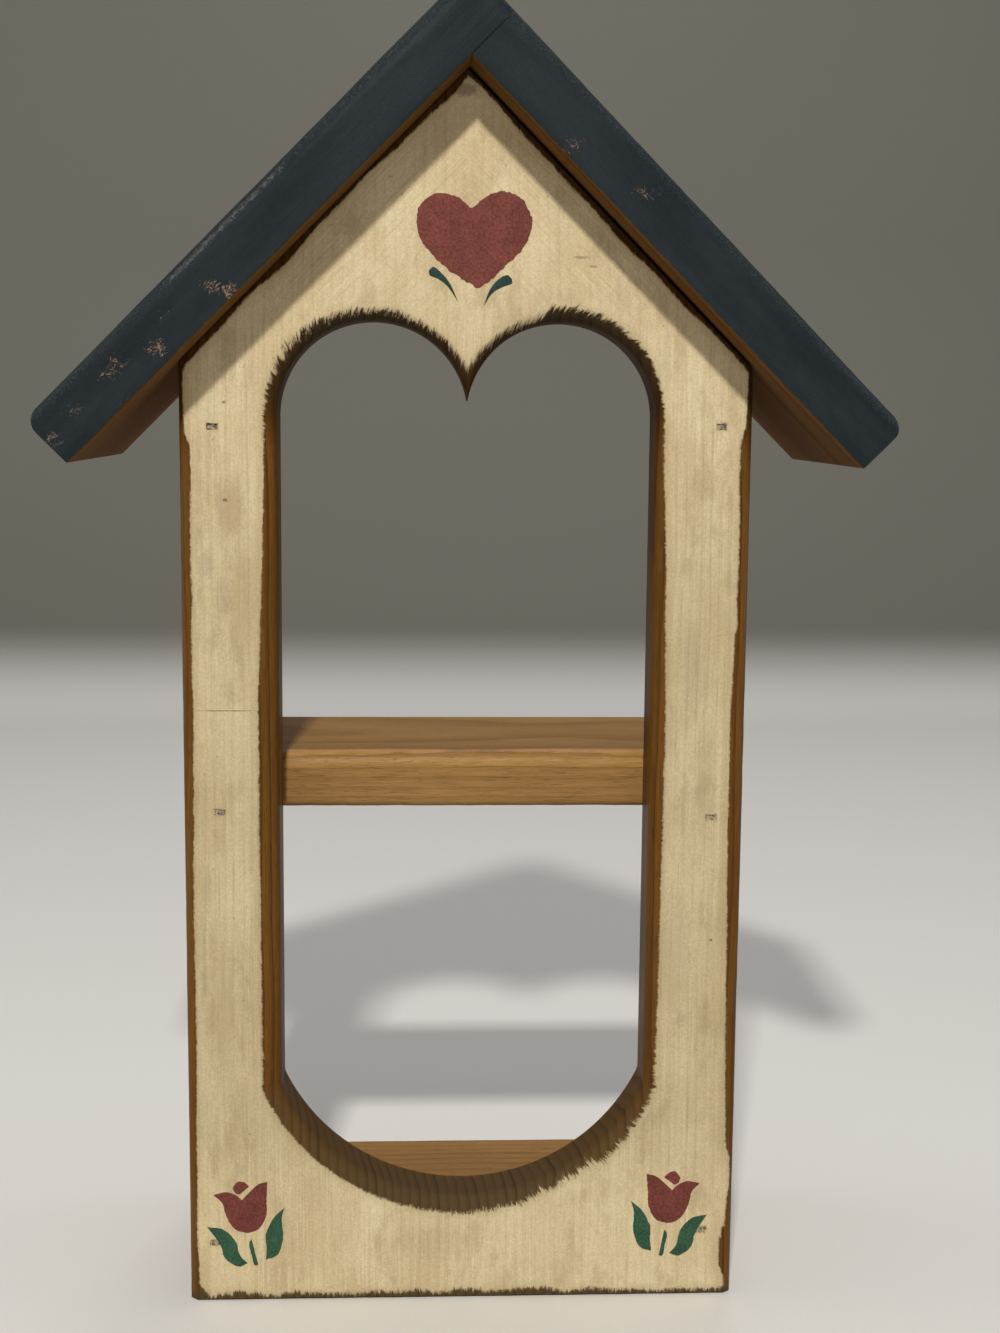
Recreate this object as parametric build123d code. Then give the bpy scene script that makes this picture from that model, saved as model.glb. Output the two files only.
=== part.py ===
"""Birdhouse-shaped display shelf: a house-fronted wooden box, open at the back, nailed together.

Seven boards of nominal 3/4 inch pine make it. The front is one house-shaped board with a
window sawn out of it: two arches that meet in a cusp above, and a bowl below. Two side boards
stand behind the front. A shelf and a base board are nailed between the sides. Two roof boards
are butted at the ridge and nailed down into the sides and the front.

Frame, in millimetres: +X to the right of someone facing the front, +Y from the front to the
back, +Z up. The origin is on the surface it stands on, at the middle of its width and depth.
"""

from math import cos, radians, sin, sqrt, tan
import os

from build123d import *

# ---- Body -------------------------------------------------------------------------------------
BODY_WIDTH = 184.15            # a 1x8 board as sold, 7 1/4 inches
APEX_HEIGHT = 406.4            # the peak under the roof, 16 inches
SIDE_DEPTH = 73.05             # front to back, behind the front board
FRONT_THICKNESS = 19.05
SIDE_THICKNESS = 19.05
EASED_EDGE = 1.0               # sanded arris on the bare back edges
FOOT_EASE = 0.8                # sanded arris along the front's foot
FRONT_ROUND = 3.18             # 1/8 inch router bit, on the front's two long edges

# ---- Window in the front ----------------------------------------------------------------------
STILE_WIDTH = 31.15            # wood left on each side of the window
CROWN_WOOD = 78.4              # wood from the peak down to the crown of the arches
CUSP_OVERLAP = 0.5             # how far the two arches' circles cross, which blunts the cusp
SILL_HEIGHT = 35.3             # lowest point of the bowl
SILL_DROP = 39.1               # from the foot of the straight sides down to the sill
SILL_CORNER = 4.0              # where the bowl runs into a straight side
WINDOW_ROUND = 4.76            # 3/16 inch router bit

# ---- Shelf and base ---------------------------------------------------------------------------
SHELF_TOP = 185.55
SHELF_THICKNESS = 19.05
SHELF_TOP_ROUND = 5.5
SHELF_UNDER_ROUND = 3.0
BASE_THICKNESS = 19.05

# ---- Roof -------------------------------------------------------------------------------------
ROOF_PITCH = 45.0              # degrees
ROOF_THICKNESS = 19.05
ROOF_OVERHANG = 19.05          # in front of the front board
EAVE_OVERHANG = 31.75          # past a side board to the eave's lower corner, measured level
ROOF_ROUND = 4.76              # 3/16 inch router bit
GABLE_GAP = 0.8                # the front's right slope was sawn a little short

# ---- Nails, 16 gauge with a T head, driven by eye ---------------------------------------------
NAIL_LENGTH = 50.8             # 2 inch
ROOF_NAIL_LENGTH = 44.45       # 1 3/4 inch
RIDGE_NAIL_LENGTH = 38.1       # 1 1/2 inch
NAIL_SHANK = (1.6, 1.4)
NAIL_HEAD = (3.4, 2.2)
NAIL_HEAD_THICKNESS = 0.8
NAIL_SET = 0.6                 # how far a head is driven below a square face
EAVE_NAIL_DROP = (20.3, 19.1)  # top front nails below the eaves' corner, left and right
EAVE_NAIL_SHIFT = (1.2, 0.6)   # and in from the middle of the side board
SHELF_NAIL_DROP = (16.8, 18.8)  # middle front nails below the shelf's top
SHELF_NAIL_SHIFT = (2.3, 1.1)
FOOT_NAIL_RISE = (20.5, 23.0)  # bottom front nails above the foot
FOOT_NAIL_SHIFT = (-1.1, 1.4)
CROSS_NAIL_INSET = 16.0        # shelf and base nails, from the board's front and back edges
ROOF_NAIL_INSET = 20.0         # roof nails into a side, from its front and back edges
GABLE_NAIL_REACH = (28.0, 62.0)  # roof nails into the front, from the ridge, measured level
RIDGE_NAIL_INSET = 20.0        # outer ridge nails, from the roof's front and back

# ---- Worked out from the sizes above ----------------------------------------------------------
HALF_WIDTH = BODY_WIDTH / 2
TOTAL_DEPTH = ROOF_OVERHANG + FRONT_THICKNESS + SIDE_DEPTH
ROOF_FRONT_Y = -TOTAL_DEPTH / 2
BACK_Y = TOTAL_DEPTH / 2
FRONT_Y = ROOF_FRONT_Y + ROOF_OVERHANG
SIDES_Y = FRONT_Y + FRONT_THICKNESS
PITCH = radians(ROOF_PITCH)
INNER_HALF_WIDTH = HALF_WIDTH - SIDE_THICKNESS
SIDE_MIDDLE_X = HALF_WIDTH - SIDE_THICKNESS / 2
EAVE_REACH = HALF_WIDTH + EAVE_OVERHANG
SLOPE_SAG = GABLE_GAP / cos(PITCH)
ROOF_SURFACE_RISE = ROOF_THICKNESS / cos(PITCH)
ROOF_NAIL_SET = NAIL_SET + NAIL_HEAD[0] / 2 * tan(PITCH)
WINDOW_HALF_WIDTH = HALF_WIDTH - STILE_WIDTH
WINDOW_TOP = APEX_HEIGHT - CROWN_WOOD
ARCH_RADIUS = (WINDOW_HALF_WIDTH + CUSP_OVERLAP) / 2
ARCH_CENTRE_X = WINDOW_HALF_WIDTH - ARCH_RADIUS
ARCH_CENTRE_Z = WINDOW_TOP - ARCH_RADIUS
CUSP_HEIGHT = ARCH_CENTRE_Z + sqrt(ARCH_RADIUS**2 - ARCH_CENTRE_X**2)


def underside_height(x):
    """Height of the roof's underside at a distance x from the middle."""
    return APEX_HEIGHT - abs(x) * tan(PITCH)


def slab(outline, y_front, y_back):
    """A solid with the given outline in X and Z, from y_front to y_back."""
    plane = Plane(origin=(0, y_back, 0), x_dir=(1, 0, 0), z_dir=(0, -1, 0))
    return extrude(plane * outline, amount=y_back - y_front)


def edges_on(solid, *tests):
    """The solid's edges whose middle passes every test."""
    return [e for e in solid.edges() if all(test(e @ 0.5) for test in tests)]


def near(value, target):
    """True if two lengths are the same, as far as an edge pick needs."""
    return abs(value - target) < 0.01


# ---- Nails ------------------------------------------------------------------------------------
def nail(length=NAIL_LENGTH):
    """A nail that points down -Z, with the top of its head at the origin."""
    head = Pos(0, 0, -NAIL_HEAD_THICKNESS / 2) * Box(*NAIL_HEAD, NAIL_HEAD_THICKNESS)
    shank_length = length - NAIL_HEAD_THICKNESS
    shank = Pos(0, 0, -NAIL_HEAD_THICKNESS - shank_length / 2) * Box(*NAIL_SHANK, shank_length)
    return head + shank


def nail_pocket(depth):
    """The hole that a driven head leaves above it, from the head's top out past the surface."""
    height = depth + NAIL_HEAD[0]
    return Pos(0, 0, height / 2) * Box(*NAIL_HEAD, height)


def drive(location, depth=NAIL_SET, length=NAIL_LENGTH):
    """A nail in place and the room that it and its pocket take out of the boards."""
    placed = location * nail(length)
    return placed, placed + location * nail_pocket(depth)


def front_nail_places():
    """Heads of the nails through the front into the front edge of each side board."""
    places = []
    for i, side in enumerate((-1, 1)):
        rows = (
            (underside_height(HALF_WIDTH) - EAVE_NAIL_DROP[i], EAVE_NAIL_SHIFT[i]),
            (SHELF_TOP - SHELF_NAIL_DROP[i], SHELF_NAIL_SHIFT[i]),
            (FOOT_NAIL_RISE[i], FOOT_NAIL_SHIFT[i]),
        )
        for height, shift in rows:
            head = (side * (SIDE_MIDDLE_X - shift), FRONT_Y + NAIL_SET, height)
            places.append(Location(head, (90, 0, 0)))
    return places


def cross_nail_places(height):
    """Heads of the nails through each side into the ends of the board centred at a height."""
    return [
        Location((side * (HALF_WIDTH - NAIL_SET), y, height), (0, side * 90, 0))
        for side in (-1, 1)
        for y in (SIDES_Y + CROSS_NAIL_INSET, BACK_Y - CROSS_NAIL_INSET)
    ]


def roof_nail_place(x, y):
    """Head of a nail driven straight down through the roof at x, y."""
    surface = underside_height(x) + ROOF_SURFACE_RISE
    return Location((x, y, surface - ROOF_NAIL_SET), (0, 0, 0))


def drive_in_roof(places):
    """Nails down through the sloped roof, each set deep enough for its whole head."""
    return [drive(place, ROOF_NAIL_SET, ROOF_NAIL_LENGTH) for place in places]


def roof_side_nail_places():
    """Heads of the nails through the roof into the top of each side board."""
    return [
        roof_nail_place(side * SIDE_MIDDLE_X, y)
        for side in (-1, 1)
        for y in (SIDES_Y + ROOF_NAIL_INSET, BACK_Y - ROOF_NAIL_INSET)
    ]


def roof_front_nail_places():
    """Heads of the nails through the roof into the front board's slopes."""
    middle_y = FRONT_Y + FRONT_THICKNESS / 2
    return [
        roof_nail_place(side * reach, middle_y)
        for side in (-1, 1)
        for reach in GABLE_NAIL_REACH
    ]


def ridge_nail_places():
    """Heads of the nails through the left roof board into the upper end of the right one."""
    half_butt = ROOF_THICKNESS / sin(2 * PITCH) / 2
    x = half_butt * cos(PITCH) - ROOF_THICKNESS * sin(PITCH)
    z = APEX_HEIGHT + half_butt * sin(PITCH) + ROOF_THICKNESS * cos(PITCH)
    inwards = (sin(PITCH) * NAIL_SET, -cos(PITCH) * NAIL_SET)
    first = ROOF_FRONT_Y + RIDGE_NAIL_INSET
    last = BACK_Y - RIDGE_NAIL_INSET
    return [
        Location((x + inwards[0], y, z + inwards[1]), (0, -ROOF_PITCH, 0))
        for y in (first, (first + last) / 2, last)
    ]


# ---- Boards -----------------------------------------------------------------------------------
def window_outline():
    """The front's window: two arches and a cusp above, straight sides, and a bowl below."""
    cusp = (0, CUSP_HEIGHT)
    crown = (ARCH_CENTRE_X, WINDOW_TOP)
    arch_foot = (WINDOW_HALF_WIDTH, ARCH_CENTRE_Z)
    bowl_top = (WINDOW_HALF_WIDTH, SILL_HEIGHT + SILL_DROP)
    sill = (0, SILL_HEIGHT)
    with BuildSketch() as window:
        with BuildLine():
            ThreePointArc(cusp, crown, arch_foot)
            Line(arch_foot, bowl_top)
            ThreePointArc(bowl_top, sill, mirrored(bowl_top))
            Line(mirrored(bowl_top), mirrored(arch_foot))
            ThreePointArc(mirrored(arch_foot), mirrored(crown), cusp)
        make_face()
        fillet([v for v in window.vertices() if near(v.Y, bowl_top[1])], SILL_CORNER)
    return window.sketch


def mirrored(point):
    """The point as far to the other side of the middle."""
    return (-point[0], point[1])


def front_outline():
    """The house shape of the front. Its right slope stops short of the roof by the gable gap."""
    short_peak_x = SLOPE_SAG / (2 * tan(PITCH))
    eave_height = underside_height(HALF_WIDTH)
    return make_face(
        Polyline(
            (-HALF_WIDTH, 0),
            (HALF_WIDTH, 0),
            (HALF_WIDTH, eave_height - SLOPE_SAG),
            (-short_peak_x, underside_height(short_peak_x)),
            (-HALF_WIDTH, eave_height),
            close=True,
        )
    )


def make_front():
    """One board, with its window, its routed edges and the holes of its nails."""
    board = slab(front_outline(), FRONT_Y, SIDES_Y)
    at_front = lambda p: near(p.Y, FRONT_Y)
    long_edges = edges_on(board, at_front, lambda p: near(abs(p.X), HALF_WIDTH))
    board = fillet(long_edges, FRONT_ROUND)
    foot = edges_on(board, at_front, lambda p: near(p.Z, 0))
    board = fillet(foot, FOOT_EASE)
    board -= slab(window_outline(), FRONT_Y - 1, SIDES_Y + 1)
    return round_window(board)


def round_window(board):
    """The board with its window's front edge rounded over."""
    in_window = lambda p: (
        near(p.Y, FRONT_Y)
        and abs(p.X) < WINDOW_HALF_WIDTH + 0.5
        and SILL_HEIGHT - 0.5 < p.Z < WINDOW_TOP + 0.5
    )
    return fillet(edges_on(board, in_window), WINDOW_ROUND)


def make_side(side):
    """A side board, its top end sawn to the roof's slope. side is -1 for left and 1 for right."""
    outer, inner = side * HALF_WIDTH, side * INNER_HALF_WIDTH
    outline = make_face(
        Polyline(
            (outer, 0),
            (inner, 0),
            (inner, underside_height(inner)),
            (outer, underside_height(outer)),
            close=True,
        )
    )
    board = slab(outline, SIDES_Y, BACK_Y)
    back_edges = edges_on(
        board,
        lambda p: near(p.Y, BACK_Y),
        lambda p: near(abs(p.X), HALF_WIDTH) or near(abs(p.X), INNER_HALF_WIDTH),
    )
    return fillet(back_edges, EASED_EDGE)


def make_cross_board(top, thickness):
    """A board between the sides, against the back of the front, with its top at a height."""
    return Pos(0, (SIDES_Y + BACK_Y) / 2, top - thickness / 2) * Box(
        2 * INNER_HALF_WIDTH, SIDE_DEPTH, thickness
    )


def make_shelf():
    """The middle shelf, rounded over along its front."""
    board = make_cross_board(SHELF_TOP, SHELF_THICKNESS)
    at_front = lambda p: near(p.Y, SIDES_Y)
    board = fillet(edges_on(board, at_front, lambda p: near(p.Z, SHELF_TOP)), SHELF_TOP_ROUND)
    under = lambda p: near(p.Z, SHELF_TOP - SHELF_THICKNESS)
    board = fillet(edges_on(board, at_front, under), SHELF_UNDER_ROUND)
    back_edges = edges_on(board, lambda p: near(p.Y, BACK_Y), lambda p: near(p.X, 0))
    return fillet(back_edges, EASED_EDGE)


def make_base():
    """The base board, which stands on the same surface as the front and the sides."""
    board = make_cross_board(BASE_THICKNESS, BASE_THICKNESS)
    top_back = edges_on(board, lambda p: near(p.Y, BACK_Y), lambda p: near(p.Z, BASE_THICKNESS))
    return fillet(top_back, EASED_EDGE)


def roof_corners(side):
    """Corners of a roof board in X and Z, for side -1 or 1, as a dictionary.

    The left board runs on to the right board's top surface, and the right board butts
    against its underside, so the two share the ridge's butt line."""
    down = Vector(side * cos(PITCH), -sin(PITCH))
    out = Vector(side * sin(PITCH), cos(PITCH))
    ridge_under = Vector(0, APEX_HEIGHT)
    butt = ROOF_THICKNESS / sin(2 * PITCH)
    eave_under = ridge_under + down * (EAVE_REACH / cos(PITCH))
    return {
        "ridge_under": ridge_under,
        "ridge_top": Vector(0, APEX_HEIGHT + ROOF_SURFACE_RISE),
        "butt_top": ridge_under + Vector(cos(PITCH), sin(PITCH)) * butt,
        "eave_under": eave_under,
        "eave_top": eave_under + out * ROOF_THICKNESS,
    }


def make_roof(side):
    """A roof board with every edge of its weather side rounded over."""
    c = roof_corners(side)
    upper_end = ["ridge_top", "butt_top"] if side < 0 else ["butt_top", "ridge_under"]
    names = ["eave_top", *upper_end, "eave_under"]
    outline = make_face(Polyline(*[(c[n].X, c[n].Y) for n in names], close=True))
    board = slab(outline, ROOF_FRONT_Y, BACK_Y)
    weather = [(c["eave_top"], c["ridge_top"])]
    crosswise = [c["eave_top"]]
    if side < 0:
        weather.append((c["ridge_top"], c["butt_top"]))
        crosswise.append(c["ridge_top"])
    return fillet(roof_edges(board, weather, crosswise), ROOF_ROUND)


def roof_edges(board, weather, crosswise):
    """Edges along the weather lines at the board's front and back, and those across it."""
    found = []
    for edge in board.edges():
        middle = edge @ 0.5
        flat = Vector(middle.X, middle.Z)
        at_end = near(middle.Y, ROOF_FRONT_Y) or near(middle.Y, BACK_Y)
        on_line = any(near(((b - a).cross(flat - a)).length, 0) for a, b in weather)
        at_corner = any(near((flat - corner).length, 0) for corner in crosswise)
        if (at_end and on_line) or at_corner:
            found.append(edge)
    return found


# ---- Assembly ---------------------------------------------------------------------------------
def build():
    """Every node by name. Each board has the holes of the nails that pass through it."""
    boards = {
        "front_board": make_front(),
        "left_side_board": make_side(-1),
        "right_side_board": make_side(1),
        "middle_shelf": make_shelf(),
        "base_board": make_base(),
        "left_roof_board": make_roof(-1),
        "right_roof_board": make_roof(1),
    }
    shelf_middle = SHELF_TOP - SHELF_THICKNESS / 2
    nailed = {
        "front_nails": [drive(p) for p in front_nail_places()],
        "shelf_nails": [drive(p) for p in cross_nail_places(shelf_middle)],
        "base_nails": [drive(p) for p in cross_nail_places(BASE_THICKNESS / 2)],
        "roof_side_nails": drive_in_roof(roof_side_nail_places()),
        "roof_front_nails": drive_in_roof(roof_front_nail_places()),
        "ridge_nails": [drive(p, NAIL_SET, RIDGE_NAIL_LENGTH) for p in ridge_nail_places()],
    }
    for name in boards:
        for pairs in nailed.values():
            for _, room in pairs:
                if boards[name].bounding_box().overlaps(room.bounding_box()):
                    boards[name] = boards[name] - room
    nails = {name: Compound([placed for placed, _ in pairs]) for name, pairs in nailed.items()}
    return {**boards, **nails}


def main():
    os.makedirs("parts", exist_ok=True)
    for name, shape in build().items():
        shape.label = name
        export_step(shape, f"parts/{name}.step")
        print(f"{name}: {len(shape.solids())} solids, {shape.volume / 1000:.2f} cm3")


main()
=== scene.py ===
# %% [markdown]
# # A birdhouse display shelf
#
# The real thing is seven pine boards nailed into a little house with no back. Its front is
# one board with a window sawn out of it, brushed with cream paint over an orange-brown stain.
# The roof is slate blue, and a heart and two tulips are stencilled on the front.
#
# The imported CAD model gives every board's place and size. It is loaded first and never moved.
# The boards that it brings are perfect blocks, so each one is replaced here by a surface of
# the same size with hand-eased edges, small dents and the wood's own coordinates on it.

import math

import bmesh
import bpy
import mathutils
import numpy as np
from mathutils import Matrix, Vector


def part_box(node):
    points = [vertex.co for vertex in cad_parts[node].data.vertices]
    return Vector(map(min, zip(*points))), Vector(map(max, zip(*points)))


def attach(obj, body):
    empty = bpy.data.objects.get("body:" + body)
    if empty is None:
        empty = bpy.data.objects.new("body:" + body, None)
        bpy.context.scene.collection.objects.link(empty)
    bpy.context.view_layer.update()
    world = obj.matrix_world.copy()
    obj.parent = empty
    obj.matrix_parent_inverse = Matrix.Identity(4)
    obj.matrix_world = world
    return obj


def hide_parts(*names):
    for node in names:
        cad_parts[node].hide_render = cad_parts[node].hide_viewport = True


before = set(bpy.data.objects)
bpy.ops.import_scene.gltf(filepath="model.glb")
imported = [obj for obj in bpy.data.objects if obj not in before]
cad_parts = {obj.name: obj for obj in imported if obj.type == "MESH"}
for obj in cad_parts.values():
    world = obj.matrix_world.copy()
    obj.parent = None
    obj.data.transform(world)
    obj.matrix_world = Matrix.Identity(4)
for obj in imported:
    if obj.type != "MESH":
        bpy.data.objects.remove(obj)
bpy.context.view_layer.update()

MM = 0.001
print("nodes:", sorted(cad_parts))

# %% [markdown]
# ## Sizes read from the frame
#
# A board's box gives its thickness and its place, so these lines hold whatever the CAD says.
# The side boards end under the roof, so their tops give the height of the peak as well: the
# roof falls as far as it runs, at 45 degrees.

# %% Measure the boards
front_low, front_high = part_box("front_board")
side_low, side_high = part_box("right_side_board")
shelf_low, shelf_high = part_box("middle_shelf")
base_low, base_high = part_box("base_board")
roof_low, roof_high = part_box("left_roof_board")

HALF_WIDTH = front_high[0] / MM
FRONT_Y = front_low[1] / MM
SIDES_Y = front_high[1] / MM
BACK_Y = side_high[1] / MM
BOARD = SIDES_Y - FRONT_Y
INNER_HALF = side_low[0] / MM
PEAK = side_high[2] / MM + INNER_HALF
EAVE = PEAK - HALF_WIDTH
ROOF_FRONT_Y = roof_low[1] / MM
ROOF_DEPTH = (roof_high[1] - roof_low[1]) / MM
SLANT = math.sqrt(0.5)
ROOF_ROLL = 4.76
EAVE_REACH = -roof_low[0] / MM + ROOF_ROLL * (math.sqrt(2) - 1) - BOARD * SLANT
print(f"front {2 * HALF_WIDTH:.1f} wide, peak at {PEAK:.1f}, boards {BOARD:.2f} thick, in mm")

# %% [markdown]
# ## The camera and its plain studio
#
# The camera stands a little left of the middle and a little above it, two arm's lengths off,
# and looks slightly down, so the roof's peak just leaves the view. One small key light from
# the front and above throws the roof's edge onto the front board. Four broad, weak lights at
# the sides, behind and overhead, and a sweep of card, pale on the floor and painted grey as
# shade where it rises, fill the rest.

# %% Camera
CAMERA_AT = (-18.47, -642.6, 300.5)
CAMERA_YAW = math.radians(2.785)
CAMERA_PITCH = math.radians(-7.813)
CAMERA_ROLL = math.radians(0.503)
CAMERA_LENS = 50.76


def camera_axes():
    """Right, up and back of the camera: turned by yaw, tipped by pitch, then rolled."""
    ahead = np.array([
        math.sin(CAMERA_YAW) * math.cos(CAMERA_PITCH),
        math.cos(CAMERA_YAW) * math.cos(CAMERA_PITCH),
        math.sin(CAMERA_PITCH),
    ])
    level = np.array([math.cos(CAMERA_YAW), -math.sin(CAMERA_YAW), 0.0])
    upright = np.cross(level, ahead)
    right = level * math.cos(CAMERA_ROLL) + upright * math.sin(CAMERA_ROLL)
    up = upright * math.cos(CAMERA_ROLL) - level * math.sin(CAMERA_ROLL)
    return right, up, -ahead


def add_camera():
    """A camera with the place, the tilt and the lens given above."""
    camera = bpy.data.objects.new("camera", bpy.data.cameras.new("camera"))
    bpy.context.collection.objects.link(camera)
    matrix = np.eye(4)
    matrix[:3, :3] = np.stack(camera_axes(), axis=1)
    matrix[:3, 3] = np.array(CAMERA_AT) * MM
    camera.matrix_world = mathutils.Matrix(matrix.tolist())
    camera.data.lens = CAMERA_LENS
    camera.data.sensor_width = 36.0
    camera.data.clip_start = 0.01
    return camera


bpy.context.scene.camera = add_camera()
print("camera at", CAMERA_AT)

# %% Lights
def aim_light(name, at, towards, size, power, colour=(1.0, 1.0, 1.0)):
    """A square area light at one point that faces another, both in metres."""
    light = bpy.data.objects.new(name, bpy.data.lights.new(name, "AREA"))
    bpy.context.collection.objects.link(light)
    light.data.size = size
    light.data.energy = power
    light.data.color = colour
    light.location = at
    way = np.array(at) - np.array(towards)
    turn = math.atan2(way[0], -way[1])
    tip = math.atan2(math.hypot(way[0], way[1]), way[2])
    light.rotation_euler = (tip, 0.0, turn)


MIDDLE = (0.0, 0.0, 0.22)
FRONT_MIDDLE = (0.0, -0.03, 0.32)
FLOOR_MIDDLE = (0.0, 0.15, 0.0)
WARM_WHITE = (1.0, 0.96, 0.89)
# Name, where it hangs, what it faces, its side and its power in watts.
LIGHTS = (
    ("key_light", (-0.183, -1.48, 1.66), FRONT_MIDDLE, 0.12, 33.0, WARM_WHITE),
    ("left_fill", (-1.7, 0.35, 0.6), MIDDLE, 1.2, 7.0),
    ("right_fill", (1.7, 0.35, 0.6), MIDDLE, 1.2, 6.0),
    ("rear_fill", (0.2, 1.2, 1.6), MIDDLE, 0.6, 5.0),
    ("overhead", (0.0, 0.15, 1.7), FLOOR_MIDDLE, 1.2, 4.0),
)
for light in LIGHTS:
    aim_light(*light)

ROOM_COLOUR = (1.0, 0.94, 0.83, 1.0)
ROOM_STRENGTH = 0.088
world = bpy.data.worlds.new("studio")
bpy.context.scene.world = world
world.use_nodes = True
background = world.node_tree.nodes["Background"]
background.inputs["Color"].default_value = ROOM_COLOUR
background.inputs["Strength"].default_value = ROOM_STRENGTH
bpy.context.scene.view_settings.view_transform = "Standard"
print("lights:", [name for name, *_ in LIGHTS])

# %% [markdown]
# ## Short words for material nodes
#
# A material is a chain of small nodes, and building one node takes four lines. This class
# takes one line for each: it adds the node, joins what it is given, and hands back the
# output. Lengths in it are millimetres, because the boards carry millimetre coordinates.

# %% The recipe class
class Recipe:
    """A material under construction. Each method returns an output that others can take."""

    def __init__(self, name):
        self.material = bpy.data.materials.new(name)
        self.material.use_nodes = True
        self.tree = self.material.node_tree
        self.shader = self.tree.nodes["Principled BSDF"]

    def put(self, socket, value):
        """Joins an output to a socket, or sets the socket to a plain value."""
        if isinstance(value, bpy.types.NodeSocket):
            self.tree.links.new(value, socket)
        elif hasattr(socket.default_value, "__len__") and len(socket.default_value) == 4:
            socket.default_value = (*value[:3], 1.0)
        else:
            socket.default_value = value

    def node(self, kind, inputs, **settings):
        """A node of one kind with its settings, its inputs given by place or by name."""
        made = self.tree.nodes.new(kind)
        for key, value in settings.items():
            setattr(made, key, value)
        for key, value in inputs.items():
            self.put(made.inputs[key], value)
        return made

    def carried(self, name, part="Vector"):
        """What a piece's surface carries under that name."""
        return self.node("ShaderNodeAttribute", {}, attribute_name=name).outputs[part]

    def math(self, operation, a, b=0.0, c=0.0):
        """One sum on up to three numbers."""
        return self.node("ShaderNodeMath", {0: a, 1: b, 2: c}, operation=operation).outputs[0]

    def times(self, a, b):
        """One number times another."""
        return self.math("MULTIPLY", a, b)

    def plus(self, a, b):
        """One number and another."""
        return self.math("ADD", a, b)

    def less(self, a, b):
        """One number less another."""
        return self.math("SUBTRACT", a, b)

    def scaled(self, a, by, plus):
        """One number times another, and then a third added."""
        return self.math("MULTIPLY_ADD", a, by, plus)

    def blend(self, factor, a, b):
        """Two numbers mixed by a factor."""
        made = self.node("ShaderNodeMix", {}, data_type="FLOAT")
        for key, value in ((0, factor), (2, a), (3, b)):
            self.put(made.inputs[key], value)
        return made.outputs[0]

    def spread(self, vector, scale):
        """The vector with each part multiplied, which stretches a pattern read with it."""
        return self.node(
            "ShaderNodeVectorMath", {0: vector, 1: scale}, operation="MULTIPLY"
        ).outputs[0]

    def split(self, vector):
        """The three parts of a vector."""
        return self.node("ShaderNodeSeparateXYZ", {0: vector}).outputs

    def join(self, x, y, z):
        """A vector from three numbers."""
        return self.node("ShaderNodeCombineXYZ", {0: x, 1: y, 2: z}).outputs[0]

    def noise(self, vector, scale=1.0, detail=2.0, rough=0.5, part="Fac", twist=0.0):
        """Cloudy noise, 0 to 1. One cloud is about 1 / scale across."""
        return self.node(
            "ShaderNodeTexNoise",
            {"Vector": vector, "Scale": scale, "Detail": detail, "Roughness": rough,
             "Distortion": twist},
        ).outputs[part]

    def stretched(self, vector, scale, detail, rough, part="Fac", twist=0.0):
        """Noise whose clouds are about 1 / scale long, with one scale for each way."""
        return self.noise(self.spread(vector, scale), 1.0, detail, rough, part, twist)

    def object_mm(self, ways=(1, 1, 1)):
        """Where a point is on the object, in mm. A way given as 0 is left out."""
        coords = self.node("ShaderNodeTexCoord", {}).outputs["Object"]
        return self.spread(coords, tuple(way / MM for way in ways))

    def ease(self, value, low, high, out_low=0.0, out_high=1.0):
        """Zero below low, one above high, and smooth between."""
        return self.node(
            "ShaderNodeMapRange",
            {"Value": value, "From Min": low, "From Max": high, "To Min": out_low,
             "To Max": out_high},
            interpolation_type="SMOOTHSTEP",
        ).outputs[0]

    def ramp(self, value, *stops):
        """A number looked up on a line of (place, level) stops."""
        made = self.node("ShaderNodeValToRGB", {0: value})
        ramp = made.color_ramp
        while len(ramp.elements) < len(stops):
            ramp.elements.new(0.5)
        for element, (place, level) in zip(ramp.elements, stops):
            element.position = place
            element.color = (level, level, level, 1.0)
        return made.outputs[0]

    def mix(self, factor, a, b, blend="MIX"):
        """Two colours mixed by a factor."""
        made = self.node("ShaderNodeMix", {}, data_type="RGBA", blend_type=blend)
        for key, value in ((0, factor), (6, a), (7, b)):
            self.put(made.inputs[key], value)
        return made.outputs[2]

    def tint(self, colour, level):
        """A colour made lighter or darker by a number."""
        return self.mix(1.0, colour, self.join(level, level, level), "MULTIPLY")

    def finish(self, colour, roughness, height, depth_mm, gloss=0.5):
        """Joins the colour, the roughness and a relief that stands depth_mm high. Gloss is how
        strongly the face mirrors, and half is usual."""
        self.shader.inputs["Specular IOR Level"].default_value = gloss
        self.put(self.shader.inputs["Base Color"], colour)
        self.put(self.shader.inputs["Roughness"], roughness)
        bump = self.node("ShaderNodeBump", {"Height": height, "Distance": depth_mm * MM})
        self.put(self.shader.inputs["Normal"], bump.outputs[0])
        return self.material


# %% [markdown]
# ## Pine
#
# A board is a slice of a trunk. Every surface below carries `figure_mm`, the place inside
# that trunk: first the distance along it, then two across it, measured from the pith. The
# growth rings are then simply circles round the pith, one about every 3 mm, and the same
# recipe gives straight lines on a face, arcs on an end, and both where a curve is sawn.

# %% The figure of pine
RING_GAP = 3.1
# How far the trunk's slow bends and its small waves carry the rings, in mm.
DRIFT = 9.0
WAVER = 0.9


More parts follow.
